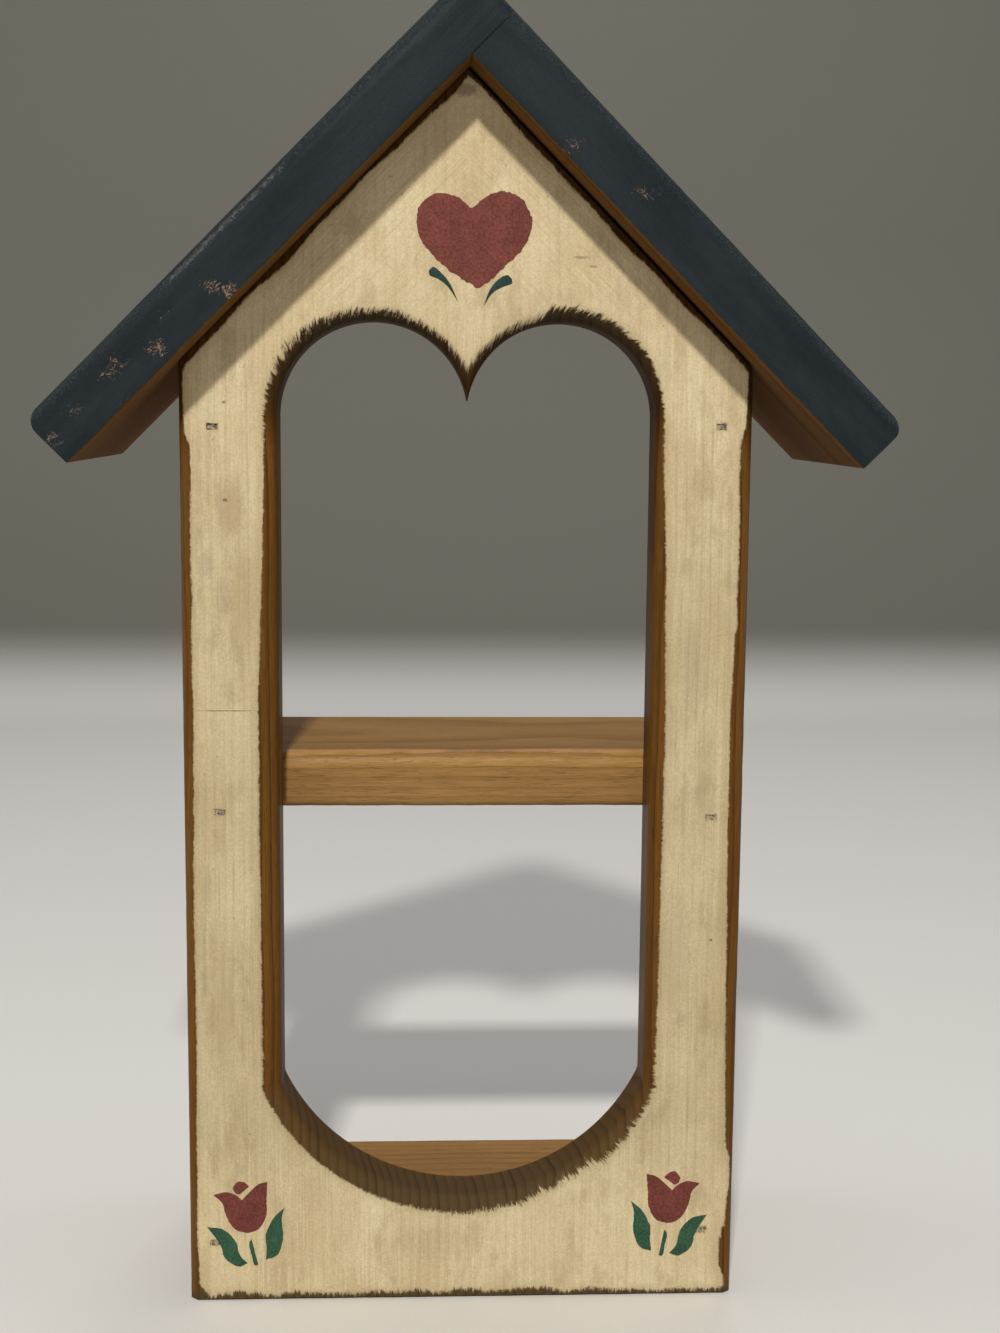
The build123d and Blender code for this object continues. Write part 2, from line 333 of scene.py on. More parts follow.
def pine_figure(recipe):
    """Late wood, fibres, flecks and broad tone of pine, each 0 to 1."""
    place = recipe.carried("figure_mm")
    bent = place
    for stretch, reach in (((0.006, 0.02, 0.02), DRIFT), ((0.03, 0.16, 0.16), WAVER)):
        sway = recipe.stretched(place, stretch, 2.0, 0.5, "Color")
        bent = recipe.node(
            "ShaderNodeVectorMath", {0: sway, 1: (reach,) * 3, 2: bent}, operation="MULTIPLY_ADD"
        ).outputs[0]
    across = recipe.spread(bent, (0.0, 1.0, 1.0))
    radius = recipe.node("ShaderNodeVectorMath", {0: across}, operation="LENGTH").outputs[1]
    count = recipe.math("DIVIDE", radius, RING_GAP)
    year = recipe.math("FRACT", count)
    late = recipe.ramp(year, (0.0, 0.15), (0.12, 0.0), (0.5, 0.12), (0.8, 0.62), (0.93, 1.0),
                       (1.0, 0.2))
    strength = recipe.node(
        "ShaderNodeTexWhiteNoise", {"W": recipe.math("FLOOR", count)}, noise_dimensions="1D"
    ).outputs["Value"]
    late = recipe.times(late, recipe.scaled(strength, 0.6, 0.4))
    return {
        "late": late,
        "fibre": recipe.stretched(place, (0.07, 3.2, 3.2), 3.0, 0.6),
        "fleck": recipe.stretched(place, (0.22, 5.0, 5.0), 1.0, 0.5),
        "tone": recipe.stretched(place, (0.012, 0.04, 0.04), 2.0, 0.5),
    }


def stained(recipe, figure, stain):
    """The colour of stained pine and its roughness. A stain is four colours: the soft wood
    where it took less and more, the late wood, and end grain, which soaks up the most."""
    pale, deep, firm, soaked = stain
    colour = recipe.mix(figure["late"], recipe.mix(figure["tone"], deep, pale), firm)
    colour = recipe.tint(colour, recipe.ease(figure["fibre"], 0.25, 0.75, 0.78, 1.16))
    fleck = recipe.ease(figure["fleck"], 0.66, 0.74)
    dark = tuple(0.3 * part for part in firm)
    colour = recipe.mix(recipe.times(fleck, 0.45), colour, dark)
    end = recipe.carried("end_grain", "Fac")
    soaked = recipe.mix(figure["late"], soaked, tuple(0.5 * part for part in soaked))
    colour = recipe.mix(end, colour, soaked)
    roughness = recipe.scaled(figure["fibre"], 0.22, 0.30)
    roughness = recipe.scaled(end, 0.3, roughness)
    return colour, roughness


def wood_relief(recipe, figure):
    """Height of bare wood, 0 to 1: late wood stands proud, fibres and flecks are grooves."""
    height = recipe.times(figure["late"], 0.45)
    height = recipe.plus(height, recipe.times(figure["fibre"], 0.5))
    fleck = recipe.ease(figure["fleck"], 0.64, 0.74)
    return recipe.less(height, recipe.times(fleck, 0.5))


# Soft wood where it took less stain and more, late wood, and end grain.
DARK_STAIN = (
    (0.205, 0.094, 0.018), (0.118, 0.050, 0.010), (0.066, 0.025, 0.006), (0.108, 0.069, 0.031),
)
MID_STAIN = (
    (0.260, 0.126, 0.030), (0.182, 0.083, 0.018), (0.105, 0.042, 0.010), (0.075, 0.042, 0.016),
)
LIGHT_STAIN = (
    (0.395, 0.226, 0.082), (0.285, 0.152, 0.050), (0.225, 0.115, 0.036), (0.120, 0.068, 0.028),
)
ROOF_STAIN = (
    (0.175, 0.080, 0.017), (0.125, 0.055, 0.011), (0.072, 0.030, 0.007), (0.062, 0.035, 0.012),
)
WOOD_RELIEF = 0.12


def make_stained_pine(name, stain, gloss):
    """Pine under a wiped-on stain and a thin varnish, smoother where hands rub it and paler there as
    a painted highlight.
    """
    recipe = Recipe(name)
    figure = pine_figure(recipe)
    colour, roughness = stained(recipe, figure, stain)
    rubbed_and_painted_highlight = recipe.carried("rubbed_and_painted_highlight", "Fac")
    # On the rubbed edge the colour is made paler: a painted highlight on the roll.
    colour = recipe.tint(colour, recipe.scaled(rubbed_and_painted_highlight, 0.30, 1.0))
    roughness = recipe.scaled(rubbed_and_painted_highlight, -0.10, roughness)
    return recipe.finish(colour, roughness, wood_relief(recipe, figure), WOOD_RELIEF, gloss)


STAINED_GLOSS = 0.05
LIGHT_GLOSS = 0.07
stained_pine = make_stained_pine("stained_pine", MID_STAIN, STAINED_GLOSS)
light_pine = make_stained_pine("light_pine", LIGHT_STAIN, LIGHT_GLOSS)
print("materials:", stained_pine.name, light_pine.name)

# %% [markdown]
# ## Cream paint over the stain
#
# The maker stained the whole front and then brushed cream paint on its flat face, stopping
# near the rounded edges. The bristles left a fringe there. Each surface point carries
# `paint_mm`, how far inside the painted area it is, `fringe_mm`, how ragged the paint is
# there, and `bristle_mm`, how far round the edge and how far from it the point lies. Noise
# read on `bristle_mm` makes hairs that cross the edge, whichever way the edge turns.

# %% Cream paint
# How far each kind of unevenness moves the paint's border, in mm from end to end.
HAIR_REACH = 16.0
TUFT_REACH = 5.0
LUMP_REACH = 1.1
NICK_REACH = 1.5


def painted_mask(recipe, reach, fringe):
    """One where paint covers, zero where it stopped, with hairs across the border."""
    way = recipe.carried("bristle_mm")
    hairs = recipe.stretched(way, (1.15, 0.20, 1.0), 4.0, 0.85)
    tufts = recipe.stretched(way, (0.30, 0.05, 1.0), 2.0, 0.5)
    lumps = recipe.stretched(way, (0.055, 0.05, 1.0), 3.0, 0.6)
    nicks = recipe.stretched(way, (0.42, 1.0, 1.0), 5.0, 0.75)
    ragged = recipe.times(recipe.less(hairs, 0.5), HAIR_REACH)
    ragged = recipe.scaled(recipe.less(tufts, 0.5), TUFT_REACH, ragged)
    total = recipe.scaled(ragged, fringe, reach)
    total = recipe.scaled(recipe.less(lumps, 0.5), LUMP_REACH, total)
    total = recipe.scaled(recipe.less(nicks, 0.5), NICK_REACH, total)
    softness = recipe.scaled(fringe, 1.5, 0.5)
    return recipe.ease(recipe.math("DIVIDE", total, softness), -0.45, 0.55)


# A mark is whole inside the first share of its size and gone past the second.
MARK_WHOLE, MARK_GONE = 0.55, 1.15


def mark(recipe, place, at, half):
    """One on a small mark at (x, z), zero away from it, soft at its rim and a little ragged."""
    middle = (at[0], 0.0, at[1])
    shift = recipe.node("ShaderNodeVectorMath", {0: place, 1: middle}, operation="SUBTRACT")
    scaled = recipe.spread(shift.outputs[0], (1 / half[0], 0.0, 1 / half[1]))
    far = recipe.node("ShaderNodeVectorMath", {0: scaled}, operation="LENGTH").outputs[1]
    crumble = recipe.noise(place, 1.3, 3.0, 0.7)
    far = recipe.scaled(recipe.less(crumble, 0.5), 1.6, far)
    return recipe.ease(far, MARK_GONE, MARK_WHOLE)


DIRT = (0.130, 0.085, 0.045)
GREY = (0.330, 0.265, 0.190)
TAN = (0.430, 0.315, 0.185)
# Where (x, z), how far it reaches each way, its colour and its strength.
FRONT_MARKS = (
    ((-75.5, 268.0), (5.0, 10.0), TAN, 0.50), ((-73.0, 236.0), (4.0, 22.0), TAN, 0.30),
    ((-84.0, 250.0), (3.0, 5.0), GREY, 0.30), ((70.0, 120.0), (6.0, 26.0), TAN, 0.32),
    ((79.0, 180.0), (4.0, 20.0), TAN, 0.30), ((-80.0, 100.0), (5.0, 24.0), TAN, 0.28),
    ((-77.5, 270.8), (0.8, 0.6), DIRT, 0.75), ((-77.5, 301.8), (0.7, 0.5), DIRT, 0.75),
    ((82.4, 125.1), (0.5, 0.5), DIRT, 0.85), ((-78.2, 202.5), (12.5, 0.16), DIRT, 0.85),
    ((36.0, 348.2), (2.6, 0.5), DIRT, 0.45), ((39.6, 345.4), (1.4, 0.4), DIRT, 0.5),
    ((-1.5, 399.0), (4.5, 2.2), DIRT, 0.5), ((-84.5, 143.0), (1.2, 9.0), GREY, 0.28),
    ((-79.0, 240.0), (3.6, 7.0), GREY, 0.22), ((74.0, 218.0), (5.0, 16.0), GREY, 0.20),
    ((-12.0, 20.0), (16.0, 6.0), GREY, 0.14),
)


# Heights between which the strokes turn from upright to slanted, and the bare wood darkens.
GABLE_STROKES = (322.0, 340.0)
ARCHES_DARKEN = (284.0, 304.0)


def brush_strokes(recipe, place):
    """Streaks of a wide brush: upright on the stiles, along the slopes in the gable."""
    x, _, z = recipe.split(place)
    folded = recipe.math("ABSOLUTE", x)
    along = recipe.times(recipe.less(z, folded), SLANT)
    across = recipe.times(recipe.plus(z, folded), SLANT)
    upright = recipe.stretched(place, (1.9, 1.0, 0.035), 3.0, 0.6)
    down_slope = recipe.join(recipe.times(along, 0.03), recipe.times(across, 1.7), 0.0)
    slanted = recipe.noise(down_slope, 1.0, 3.0, 0.6)
    in_gable = recipe.ease(z, *GABLE_STROKES)
    return recipe.blend(in_gable, upright, slanted)


CREAM_DEEP = (0.625, 0.500, 0.300)
CREAM_PALE = (0.750, 0.634, 0.408)
CREAM_RIDGE = (0.815, 0.715, 0.500)
CREAM_GROOVE = (0.500, 0.375, 0.190)
CREAM_OVER_GRAIN = (0.455, 0.318, 0.150)
CREAM_GRIMY = (0.460, 0.350, 0.205)
CREAM_THIN = (0.390, 0.285, 0.140)
CREAM_BEAD = (0.830, 0.735, 0.505)
PINHOLE = (0.300, 0.190, 0.085)
CREAM_RELIEF = 0.16
CREAM_GLOSS = 0.06


def make_cream_front():
    """Cream paint with the grain showing through it, and stained wood where it stops."""
    recipe = Recipe("cream_front")
    figure = pine_figure(recipe)
    bare, bare_roughness = stained(recipe, figure, DARK_STAIN)
    place = recipe.object_mm()
    _, y, z = recipe.split(place)
    darker = recipe.ease(z, *ARCHES_DARKEN, 1.0, 0.42)
    bare = recipe.tint(bare, recipe.ease(y, SIDES_Y - 4.0, SIDES_Y, darker, 1.0))
    reach = recipe.carried("paint_mm", "Fac")
    mask = painted_mask(recipe, reach, recipe.carried("fringe_mm", "Fac"))

    strokes = brush_strokes(recipe, place)
    clouds = recipe.stretched(place, (0.05, 0.05, 0.028), 4.0, 0.6)
    grime = recipe.stretched(place, (0.12, 0.1, 0.05), 5.0, 0.65)
    colour = recipe.mix(recipe.ease(clouds, 0.30, 0.72), CREAM_DEEP, CREAM_PALE)
    colour = recipe.mix(recipe.ease(strokes, 0.52, 0.74, 0.0, 0.5), colour, CREAM_RIDGE)
    colour = recipe.mix(recipe.ease(strokes, 0.47, 0.28, 0.0, 0.46), colour, CREAM_GROOVE)
    showing = recipe.times(figure["late"], recipe.ease(clouds, 0.25, 0.75, 0.40, 0.10))
    colour = recipe.mix(showing, colour, CREAM_OVER_GRAIN)
    colour = recipe.mix(recipe.ease(grime, 0.50, 0.68, 0.0, 0.5), colour, CREAM_GRIMY)
    thin = recipe.ease(recipe.plus(reach, recipe.times(grime, 2.0)), 4.6, 0.6, 0.0, 0.34)
    colour = recipe.mix(thin, colour, CREAM_THIN)
    inside = recipe.times(recipe.ease(reach, 0.2, 0.8), recipe.ease(reach, 2.6, 1.2))
    bead = recipe.times(inside, recipe.ease(grime, 0.48, 0.62))
    colour = recipe.mix(recipe.times(bead, 0.22), colour, CREAM_BEAD)
    fine = recipe.noise(place, 1.5, 3.0, 0.65)
    colour = recipe.tint(colour, recipe.ease(fine, 0.25, 0.75, 0.89, 1.10))
    pin = recipe.ease(recipe.stretched(place, (0.8, 0.8, 0.35), 2.0, 0.6), 0.70, 0.76, 0.0, 0.5)
    colour = recipe.mix(pin, colour, PINHOLE)
    low_down = recipe.ease(z, 24.0, 70.0, 1.08, 0.90)
    high_up = recipe.ease(z, 230.0, 310.0, 0.0, 0.10)
    colour = recipe.tint(colour, recipe.plus(low_down, high_up))
    for at, half, tone, much in FRONT_MARKS:
        spot = recipe.times(mark(recipe, place, at, half), much)
        colour = recipe.mix(spot, colour, tone)
    colour = recipe.mix(mask, bare, colour)

    roughness = recipe.blend(mask, bare_roughness, recipe.scaled(strokes, 0.2, 0.52))
    film = recipe.scaled(strokes, 0.55, 0.75)
    film = recipe.scaled(fine, 0.22, film)
    film = recipe.scaled(figure["late"], 0.25, film)
    film = recipe.scaled(bead, 0.6, film)
    height = recipe.blend(mask, wood_relief(recipe, figure), film)
    return recipe.finish(colour, roughness, height, CREAM_RELIEF, CREAM_GLOSS)


cream_front = make_cream_front()
print("material:", cream_front.name)

# %% [markdown]
# ## Slate paint for the roof
#
# The roof boards were stained like the rest and then painted slate blue on every side but
# the underside, which was never varnished and stays dull. The brush ran down the slope, so
# its streaks do too. The board carries `slate_mm`, the distance above the edge of the paint,
# and a vector that says where knocks took the paint off, where a chalky line runs that is
# partly a painted highlight, and where a painted highlight lies on the front's top roll.
# Fine noise then decides which fibres lost their paint, as the high ones do on real wood.

# %% Slate paint
SLATE_DEEP = (0.0130, 0.0196, 0.0241)
SLATE_PALE = (0.0209, 0.0299, 0.0355)
SLATE_STREAK = (0.025, 0.032, 0.036)
# A lighter grey for the painted highlight on the front's top roll.
SLATE_PAINTED_HIGHLIGHT = (0.085, 0.092, 0.092)
RAW_DEEP = (0.180, 0.098, 0.066)
RAW_PALE = (0.390, 0.255, 0.190)
# Chalk white, for a chalky line that is partly a painted highlight.
CHALK_AND_HIGHLIGHT = (0.240, 0.230, 0.215)
SLATE_RELIEF = 0.14
SLATE_GLOSS = 0.10


def make_slate_roof():
    """Slate blue satin paint, worn through to pinkish wood in places, over stained pine, with painted
    highlights.
    """
    recipe = Recipe("slate_roof")
    figure = pine_figure(recipe)
    bare, bare_roughness = stained(recipe, figure, ROOF_STAIN)
    place = recipe.carried("board_mm")
    streaks = recipe.stretched(place, (0.035, 1.1, 1.1), 3.0, 0.6)
    clouds = recipe.stretched(place, (0.022, 0.05, 0.09), 4.0, 0.6)
    fine = recipe.noise(place, 1.9, 3.0, 0.65)
    colour = recipe.mix(recipe.ease(clouds, 0.28, 0.72), SLATE_DEEP, SLATE_PALE)
    colour = recipe.mix(recipe.ease(streaks, 0.55, 0.85, 0.0, 0.2), colour, SLATE_STREAK)
    colour = recipe.tint(colour, recipe.ease(fine, 0.2, 0.8, 0.86, 1.14))

    knocked, chalk_and_highlight, rubbed_and_painted_highlight = recipe.split(recipe.carried("scuff_and_highlight"))
    fibres = recipe.stretched(place, (0.5, 1.9, 1.9), 4.0, 0.75, twist=0.8)
    crumbs = recipe.noise(place, 0.75, 5.0, 0.75, twist=1.2)
    torn = recipe.plus(recipe.times(fibres, 0.5), recipe.times(crumbs, 0.5))
    veins = recipe.stretched(place, (0.16, 0.30, 0.30), 4.0, 0.62, twist=0.9)
    thread = recipe.ease(recipe.math("ABSOLUTE", recipe.less(veins, 0.5)), 0.050, 0.0)
    thread = recipe.times(thread, knocked)
    torn = recipe.scaled(thread, 0.13, torn)
    worn = recipe.ease(recipe.scaled(knocked, 0.115, torn), 0.640, 0.750)
    raw = recipe.mix(recipe.ease(crumbs, 0.35, 0.65), RAW_DEEP, RAW_PALE)
    colour = recipe.mix(recipe.times(worn, 0.85), colour, raw)
    # The chalky line on the left board's roll, partly a painted highlight.
    chalk_and_highlight_mask = recipe.ease(recipe.scaled(chalk_and_highlight, 0.2, torn), 0.62, 0.80)
    colour = recipe.mix(recipe.times(chalk_and_highlight_mask, 0.5), colour, CHALK_AND_HIGHLIGHT)
    # A painted highlight on the front's top roll, in fine patches.
    painted_highlight = recipe.times(rubbed_and_painted_highlight, recipe.ease(fine, 0.45, 0.7, 0.0, 0.5))
    colour = recipe.mix(painted_highlight, colour, SLATE_PAINTED_HIGHLIGHT)

    way = recipe.carried("bristle_mm")
    sway = recipe.less(recipe.stretched(way, (0.22, 1.0, 1.0), 3.0, 0.6), 0.5)
    nick = recipe.less(recipe.stretched(way, (1.6, 1.6, 1.0), 2.0, 0.6), 0.5)
    reach = recipe.carried("slate_mm", "Fac")
    reach = recipe.plus(reach, recipe.times(sway, 1.1))
    reach = recipe.plus(reach, recipe.times(nick, 0.8))
    mask = recipe.ease(reach, -0.10, 0.14)
    colour = recipe.mix(mask, bare, colour)

    satin = recipe.scaled(streaks, 0.2, 0.40)
    satin = recipe.scaled(worn, 0.3, satin)
    unvarnished = recipe.plus(bare_roughness, 0.4)
    roughness = recipe.blend(mask, unvarnished, satin)
    film = recipe.plus(recipe.times(streaks, 0.5), recipe.times(fine, 0.3))
    film = recipe.scaled(figure["late"], 0.3, film)
    film = recipe.scaled(worn, -0.6, film)
    height = recipe.blend(mask, wood_relief(recipe, figure), film)
    return recipe.finish(colour, roughness, height, SLATE_RELIEF, SLATE_GLOSS)


slate_roof = make_slate_roof()
print("material:", slate_roof.name)

# %% [markdown]
# ## From arrays to a board
#
# A board could be a cube with a bevel, but then every edge is the same and nothing on it is
# worn. Here a block's skin is a grid of points on its six faces. The grid lines close up
# where an edge will be rolled and where a nail head will press in, so the same few thousand
# points draw crisp corners and 3 mm dents. Whatever the materials need is stored on the
# points too, under a name.

# %% Grid helpers
ROLL_STEPS = 7
DENT_REACH = 3.0
DENT_STEPS = 15


def stations(low, high, gap, rolls=(0.0, 0.0), marks=()):
    """Places from low to high about gap apart, closer at a rolled end and around each mark."""
    places = np.linspace(low, high, math.ceil((high - low) / gap) + 1)
    turn = 1 - np.tan(np.linspace(0, math.pi / 4, ROLL_STEPS))
    fine = [low + rolls[0] * turn, high - rolls[1] * turn]
    fine += [np.linspace(mark - DENT_REACH, mark + DENT_REACH, DENT_STEPS) for mark in marks]
    for zone in fine:
        places = places[(places < zone.min()) | (places > zone.max())]
    places = np.concatenate([places, *fine])
    return np.unique(np.round(places[(places >= low) & (places <= high)], 4))


def block_skin(lines):
    """A closed grid over a block's six faces, from the places of its lines along each way.

    Each face is a grid of two ways at one end of the third, and points with the same three
    line numbers are one point, so the faces share their edges."""
    counts = [len(places) for places in lines]
    quads = []
    for way in range(3):
        one, two = (way + 1) % 3, (way + 2) % 3
        for end in (0, 1):
            number = [None, None, None]
            sides = np.arange(counts[one]), np.arange(counts[two])
            number[one], number[two] = np.meshgrid(*sides, indexing="ij")
            number[way] = np.full_like(number[one], end * (counts[way] - 1))
            key = np.ravel_multi_index(number, counts)
            ring = np.stack([key[:-1, :-1], key[1:, :-1], key[1:, 1:], key[:-1, 1:]], axis=-1)
            quads.append(ring.reshape(-1, 4)[:, :: 1 if end else -1])
    keys, faces = np.unique(np.concatenate(quads), return_inverse=True)
    numbers = np.unravel_index(keys, counts)
    points = np.stack([places[n] for places, n in zip(lines, numbers)], axis=-1)
    return points, faces.reshape(-1, 4)


def ripple(points, length, seed):
    """Hand-made unevenness, about -1 to 1: the mean of six sine waves of about that length."""
    draw = np.random.default_rng(seed)
    parts = points.shape[-1]
    ways = draw.normal(size=(6, parts)) * 2 * math.pi / length / math.sqrt(parts)
    starts = draw.uniform(0, 2 * math.pi, 6)
    return np.clip(np.sin(points @ ways.T + starts).mean(axis=-1) * 2.0, -1, 1)


def roll_edge(points, one, two, radius):
    """Rolls the edge where two faces of a block meet, in place.

    Each face is (way, place, outward). A point nearer than the radius to both faces is drawn
    back towards the centre of a quarter circle until it is one radius away from it."""
    offsets = [radius - (place - points[:, way]) * out for way, place, out in (one, two)]
    far = np.hypot(*offsets)
    inside = (offsets[0] > 0) & (offsets[1] > 0) & (far > radius)
    shrink = np.where(inside, 1 - radius / np.maximum(far, 1e-9), 0.0)
    for (way, _, out), offset in zip((one, two), offsets):
        points[:, way] -= out * offset * shrink


def smooth(share):
    """Zero below zero, one above one, and an S curve between."""
    share = np.clip(share, 0, 1)
    return share * share * (3 - 2 * share)


# %% Pieces and nail heads
SHARP_ANGLE = math.radians(38)


def make_piece(name, points, faces, carried, material, replaces=None):
    """A new mesh from points in mm, turned to face outwards, that rides on the only body."""
    corners = points[faces]
    lift = np.cross(corners[:, 1], corners[:, 2]) + np.cross(corners[:, 2], corners[:, 3])
    volume = (corners[:, 0] * lift).sum() / 6
    if volume < 0:
        faces = faces[:, ::-1]
    mesh = bpy.data.meshes.new(name)
    mesh.vertices.add(len(points))
    mesh.vertices.foreach_set("co", (points * MM).astype(np.float32).ravel())
    mesh.loops.add(faces.size)
    mesh.loops.foreach_set("vertex_index", faces.astype(np.int32).ravel())
    mesh.polygons.add(len(faces))
    mesh.polygons.foreach_set("loop_start", np.arange(0, faces.size, 4, dtype=np.int32))
    mesh.update(calc_edges=True)
    for key, values in carried.items():
        kind, field = ("FLOAT_VECTOR", "vector") if values.ndim == 2 else ("FLOAT", "value")
        layer = mesh.attributes.new(key, kind, "POINT")
        layer.data.foreach_set(field, values.astype(np.float32).ravel())
    mesh.shade_smooth()
    mesh.set_sharp_from_angle(angle=SHARP_ANGLE)
    mesh.materials.append(material)
    piece = bpy.data.objects.new(name, mesh)
    bpy.context.collection.objects.link(piece)
    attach(piece, "root")
    if replaces:
        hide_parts(replaces)
    print(f"{name}: {len(points)} points, {abs(volume) / 1000:.1f} cm3")
    return piece


def nail_heads(node, height, tell_apart):
    """The middle of each nail head's outer face in a node, in mm.

    height says how far out a corner is. tell_apart is a number in which no two nails meet, so
    sorting by it and cutting at the gaps gives one nail at a time."""
    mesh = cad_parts[node].data
    corners = np.empty(3 * len(mesh.vertices), np.float32)
    mesh.vertices.foreach_get("co", corners)
    corners = corners.reshape(-1, 3).astype(float) / MM
    number = tell_apart(corners)
    order = np.argsort(number)
    cuts = np.flatnonzero(np.diff(number[order]) > 4.0) + 1
    tops = []
    for nail in np.split(corners[order], cuts):
        top = nail[height(nail) > height(nail).max() - 0.05]
        tops.append((top.min(axis=0) + top.max(axis=0)) / 2)
    print(f"{node}: {len(tops)} heads")
    return np.array(tops)


HEAD_LONG = 3.4
HEAD_SHORT = 2.2
DENT_DEPTH = 1.5
DENT_WALL = 0.45


def head_distance(across, along):
    """How far past a nail head's rim a point is: the larger of the two ways' excess."""
    return np.maximum(np.abs(across) - HEAD_LONG / 2, np.abs(along) - HEAD_SHORT / 2)


def dent(across, along):
    """Depth of the hole that a driven head leaves: whole over the head, gone at its rim."""
    return DENT_DEPTH * smooth(-head_distance(across, along) / DENT_WALL)


def by_side(way):
    """A number that tells nails apart by their side, left or right, and then along one way."""
    return lambda points: 1000 * np.sign(points[:, 0]) + points[:, way]


front_heads = nail_heads("front_nails", lambda p: -p[:, 1], by_side(2))
side_heads = np.concatenate([
    nail_heads(node, lambda p: abs(p[:, 0]), by_side(1)) for node in ("shelf_nails", "base_nails")
])
roof_heads = np.concatenate([
    nail_heads("roof_side_nails", lambda p: p[:, 2], by_side(1)),
    nail_heads("roof_front_nails", lambda p: p[:, 2], lambda p: p[:, 0]),
])
ridge_heads = nail_heads("ridge_nails", lambda p: p[:, 2] - p[:, 0], lambda p: p[:, 1])

# %% [markdown]
# ## The front board
#
# It is a ring: a house-shaped board with a hole. The hole is two arches, two straight sides
# and a bowl, so its edge is one path, measured in mm from the cusp. Each point on that path
# is paired with a point on the board's outline, and lines between the pairs fill the face.
# Walking round the cross-section (face, outer edge, back, hole) closes the surface.
#
# The rolled edges don't depend on the grid. Every point works out how far it is from the hole
# and from the outline, and sinks as a quarter circle says.

# %% The hole's path and the outline
ARCH_OVERLAP = 0.5
STILE = 31.15
CROWN = 78.4
SILL = 35.3
BOWL_DEPTH = 39.1
BOWL_CORNER = 4.0
GABLE_GAP = 0.8

HOLE_HALF = HALF_WIDTH - STILE
ARCH_RADIUS = (HOLE_HALF + ARCH_OVERLAP) / 2
ARCH_X = HOLE_HALF - ARCH_RADIUS
ARCH_Z = PEAK - CROWN - ARCH_RADIUS
CUSP_TURN = math.acos(-ARCH_X / ARCH_RADIUS)
BOWL_RADIUS = (HOLE_HALF**2 + BOWL_DEPTH**2) / (2 * BOWL_DEPTH)
BOWL_Z = SILL + BOWL_RADIUS
CORNER_X = HOLE_HALF - BOWL_CORNER
CORNER_Z = BOWL_Z - math.sqrt((BOWL_RADIUS - BOWL_CORNER) ** 2 - CORNER_X**2)
CORNER_TURN = math.atan2(BOWL_Z - CORNER_Z, CORNER_X)

ARCH_END = ARCH_RADIUS * CUSP_TURN
STILE_END = ARCH_END + ARCH_Z - CORNER_Z
CORNER_END = STILE_END + BOWL_CORNER * CORNER_TURN
HALF_PATH = CORNER_END + BOWL_RADIUS * (math.pi / 2 - CORNER_TURN)
SLOPE_SAG = GABLE_GAP / SLANT


def hole_point(way):
    """A point of the hole's edge, way mm from the cusp. Below zero it is on the left half.

    The parts in turn: arch, straight side, small corner, bowl. Each circle is its centre plus
    its radius times a cosine and a sine."""
    run = np.abs(way)
    arch = CUSP_TURN - run / ARCH_RADIUS
    corner = -(run - STILE_END) / BOWL_CORNER
    bowl = -CORNER_TURN - (run - CORNER_END) / BOWL_RADIUS
    parts = [run < ARCH_END, run < STILE_END, run < CORNER_END]
    across = [ARCH_X + ARCH_RADIUS * np.cos(arch), HOLE_HALF, CORNER_X + BOWL_CORNER * np.cos(corner)]
    up = [
        ARCH_Z + ARCH_RADIUS * np.sin(arch),
        ARCH_Z - (run - ARCH_END),
        CORNER_Z + BOWL_CORNER * np.sin(corner),
    ]
    x = np.select(parts, across, BOWL_RADIUS * np.cos(bowl))
    z = np.select(parts, up, BOWL_Z + BOWL_RADIUS * np.sin(bowl))
    return np.stack([np.sign(way) * np.maximum(x, 0), z], axis=-1)


def outline_point(way):
    """The outline point that is paired with each hole point, through a few chosen pairs."""
    run = np.abs(way)
    on_arch = [ARCH_RADIUS * (CUSP_TURN - math.radians(degrees)) for degrees in (90, 45, 15)]
    knots = [0, *on_arch, ARCH_END, STILE_END, CORNER_END + 29, HALF_PATH]
    x = np.interp(run, knots, [0, 34, 70, *[HALF_WIDTH] * 4, 0])
    z = np.interp(run, knots[3:], [EAVE, ARCH_Z, CORNER_Z, 0, 0])
    x = np.where(way == 0, -SLOPE_SAG / 2, np.sign(way) * x)
    slope = np.minimum(PEAK + x, PEAK - x - SLOPE_SAG)
    return np.stack([x, np.where(run < knots[3], slope, np.minimum(z, slope))], axis=-1)


print(f"hole: half path {HALF_PATH:.1f}, cusp turned {math.degrees(CUSP_TURN):.1f} degrees")


# %% Distances on the front's face
def hole_distance(x, z):
    """How far a point in the wood is from the hole: from a circle, its centre's distance less
    its radius, and from a straight side, the level distance."""
    x = np.abs(x)
    arch = np.hypot(x - ARCH_X, z - ARCH_Z) - ARCH_RADIUS
    corner = np.hypot(x - CORNER_X, z - CORNER_Z) - BOWL_CORNER
    bowl = np.hypot(x, z - BOWL_Z) - BOWL_RADIUS
    in_corner = np.arctan2(BOWL_Z - z, x) < CORNER_TURN
    low = np.where(in_corner, corner, bowl)
    return np.maximum(np.select([z >= ARCH_Z, z >= CORNER_Z], [arch, x - HOLE_HALF], low), 0)


def outline_distances(x, z):
    """How far a point is from the upright sides, from the foot and from the nearer slope."""
    slope = np.minimum(PEAK + x - z, PEAK - SLOPE_SAG - x - z) * SLANT
    return HALF_WIDTH - np.abs(x), z, slope


def roll_depth(distance, radius):
    """How far a rolled edge has sunk at a distance in from it: a quarter circle's height."""
    back = np.clip(radius - distance, 0, radius)
    return radius - np.sqrt(radius**2 - back**2)


# %% Lines across the front board
HOLE_ROLL = 4.76
SIDE_ROLL = 3.18
FOOT_ROLL = 0.8
SLOPE_ROLL = 0.45


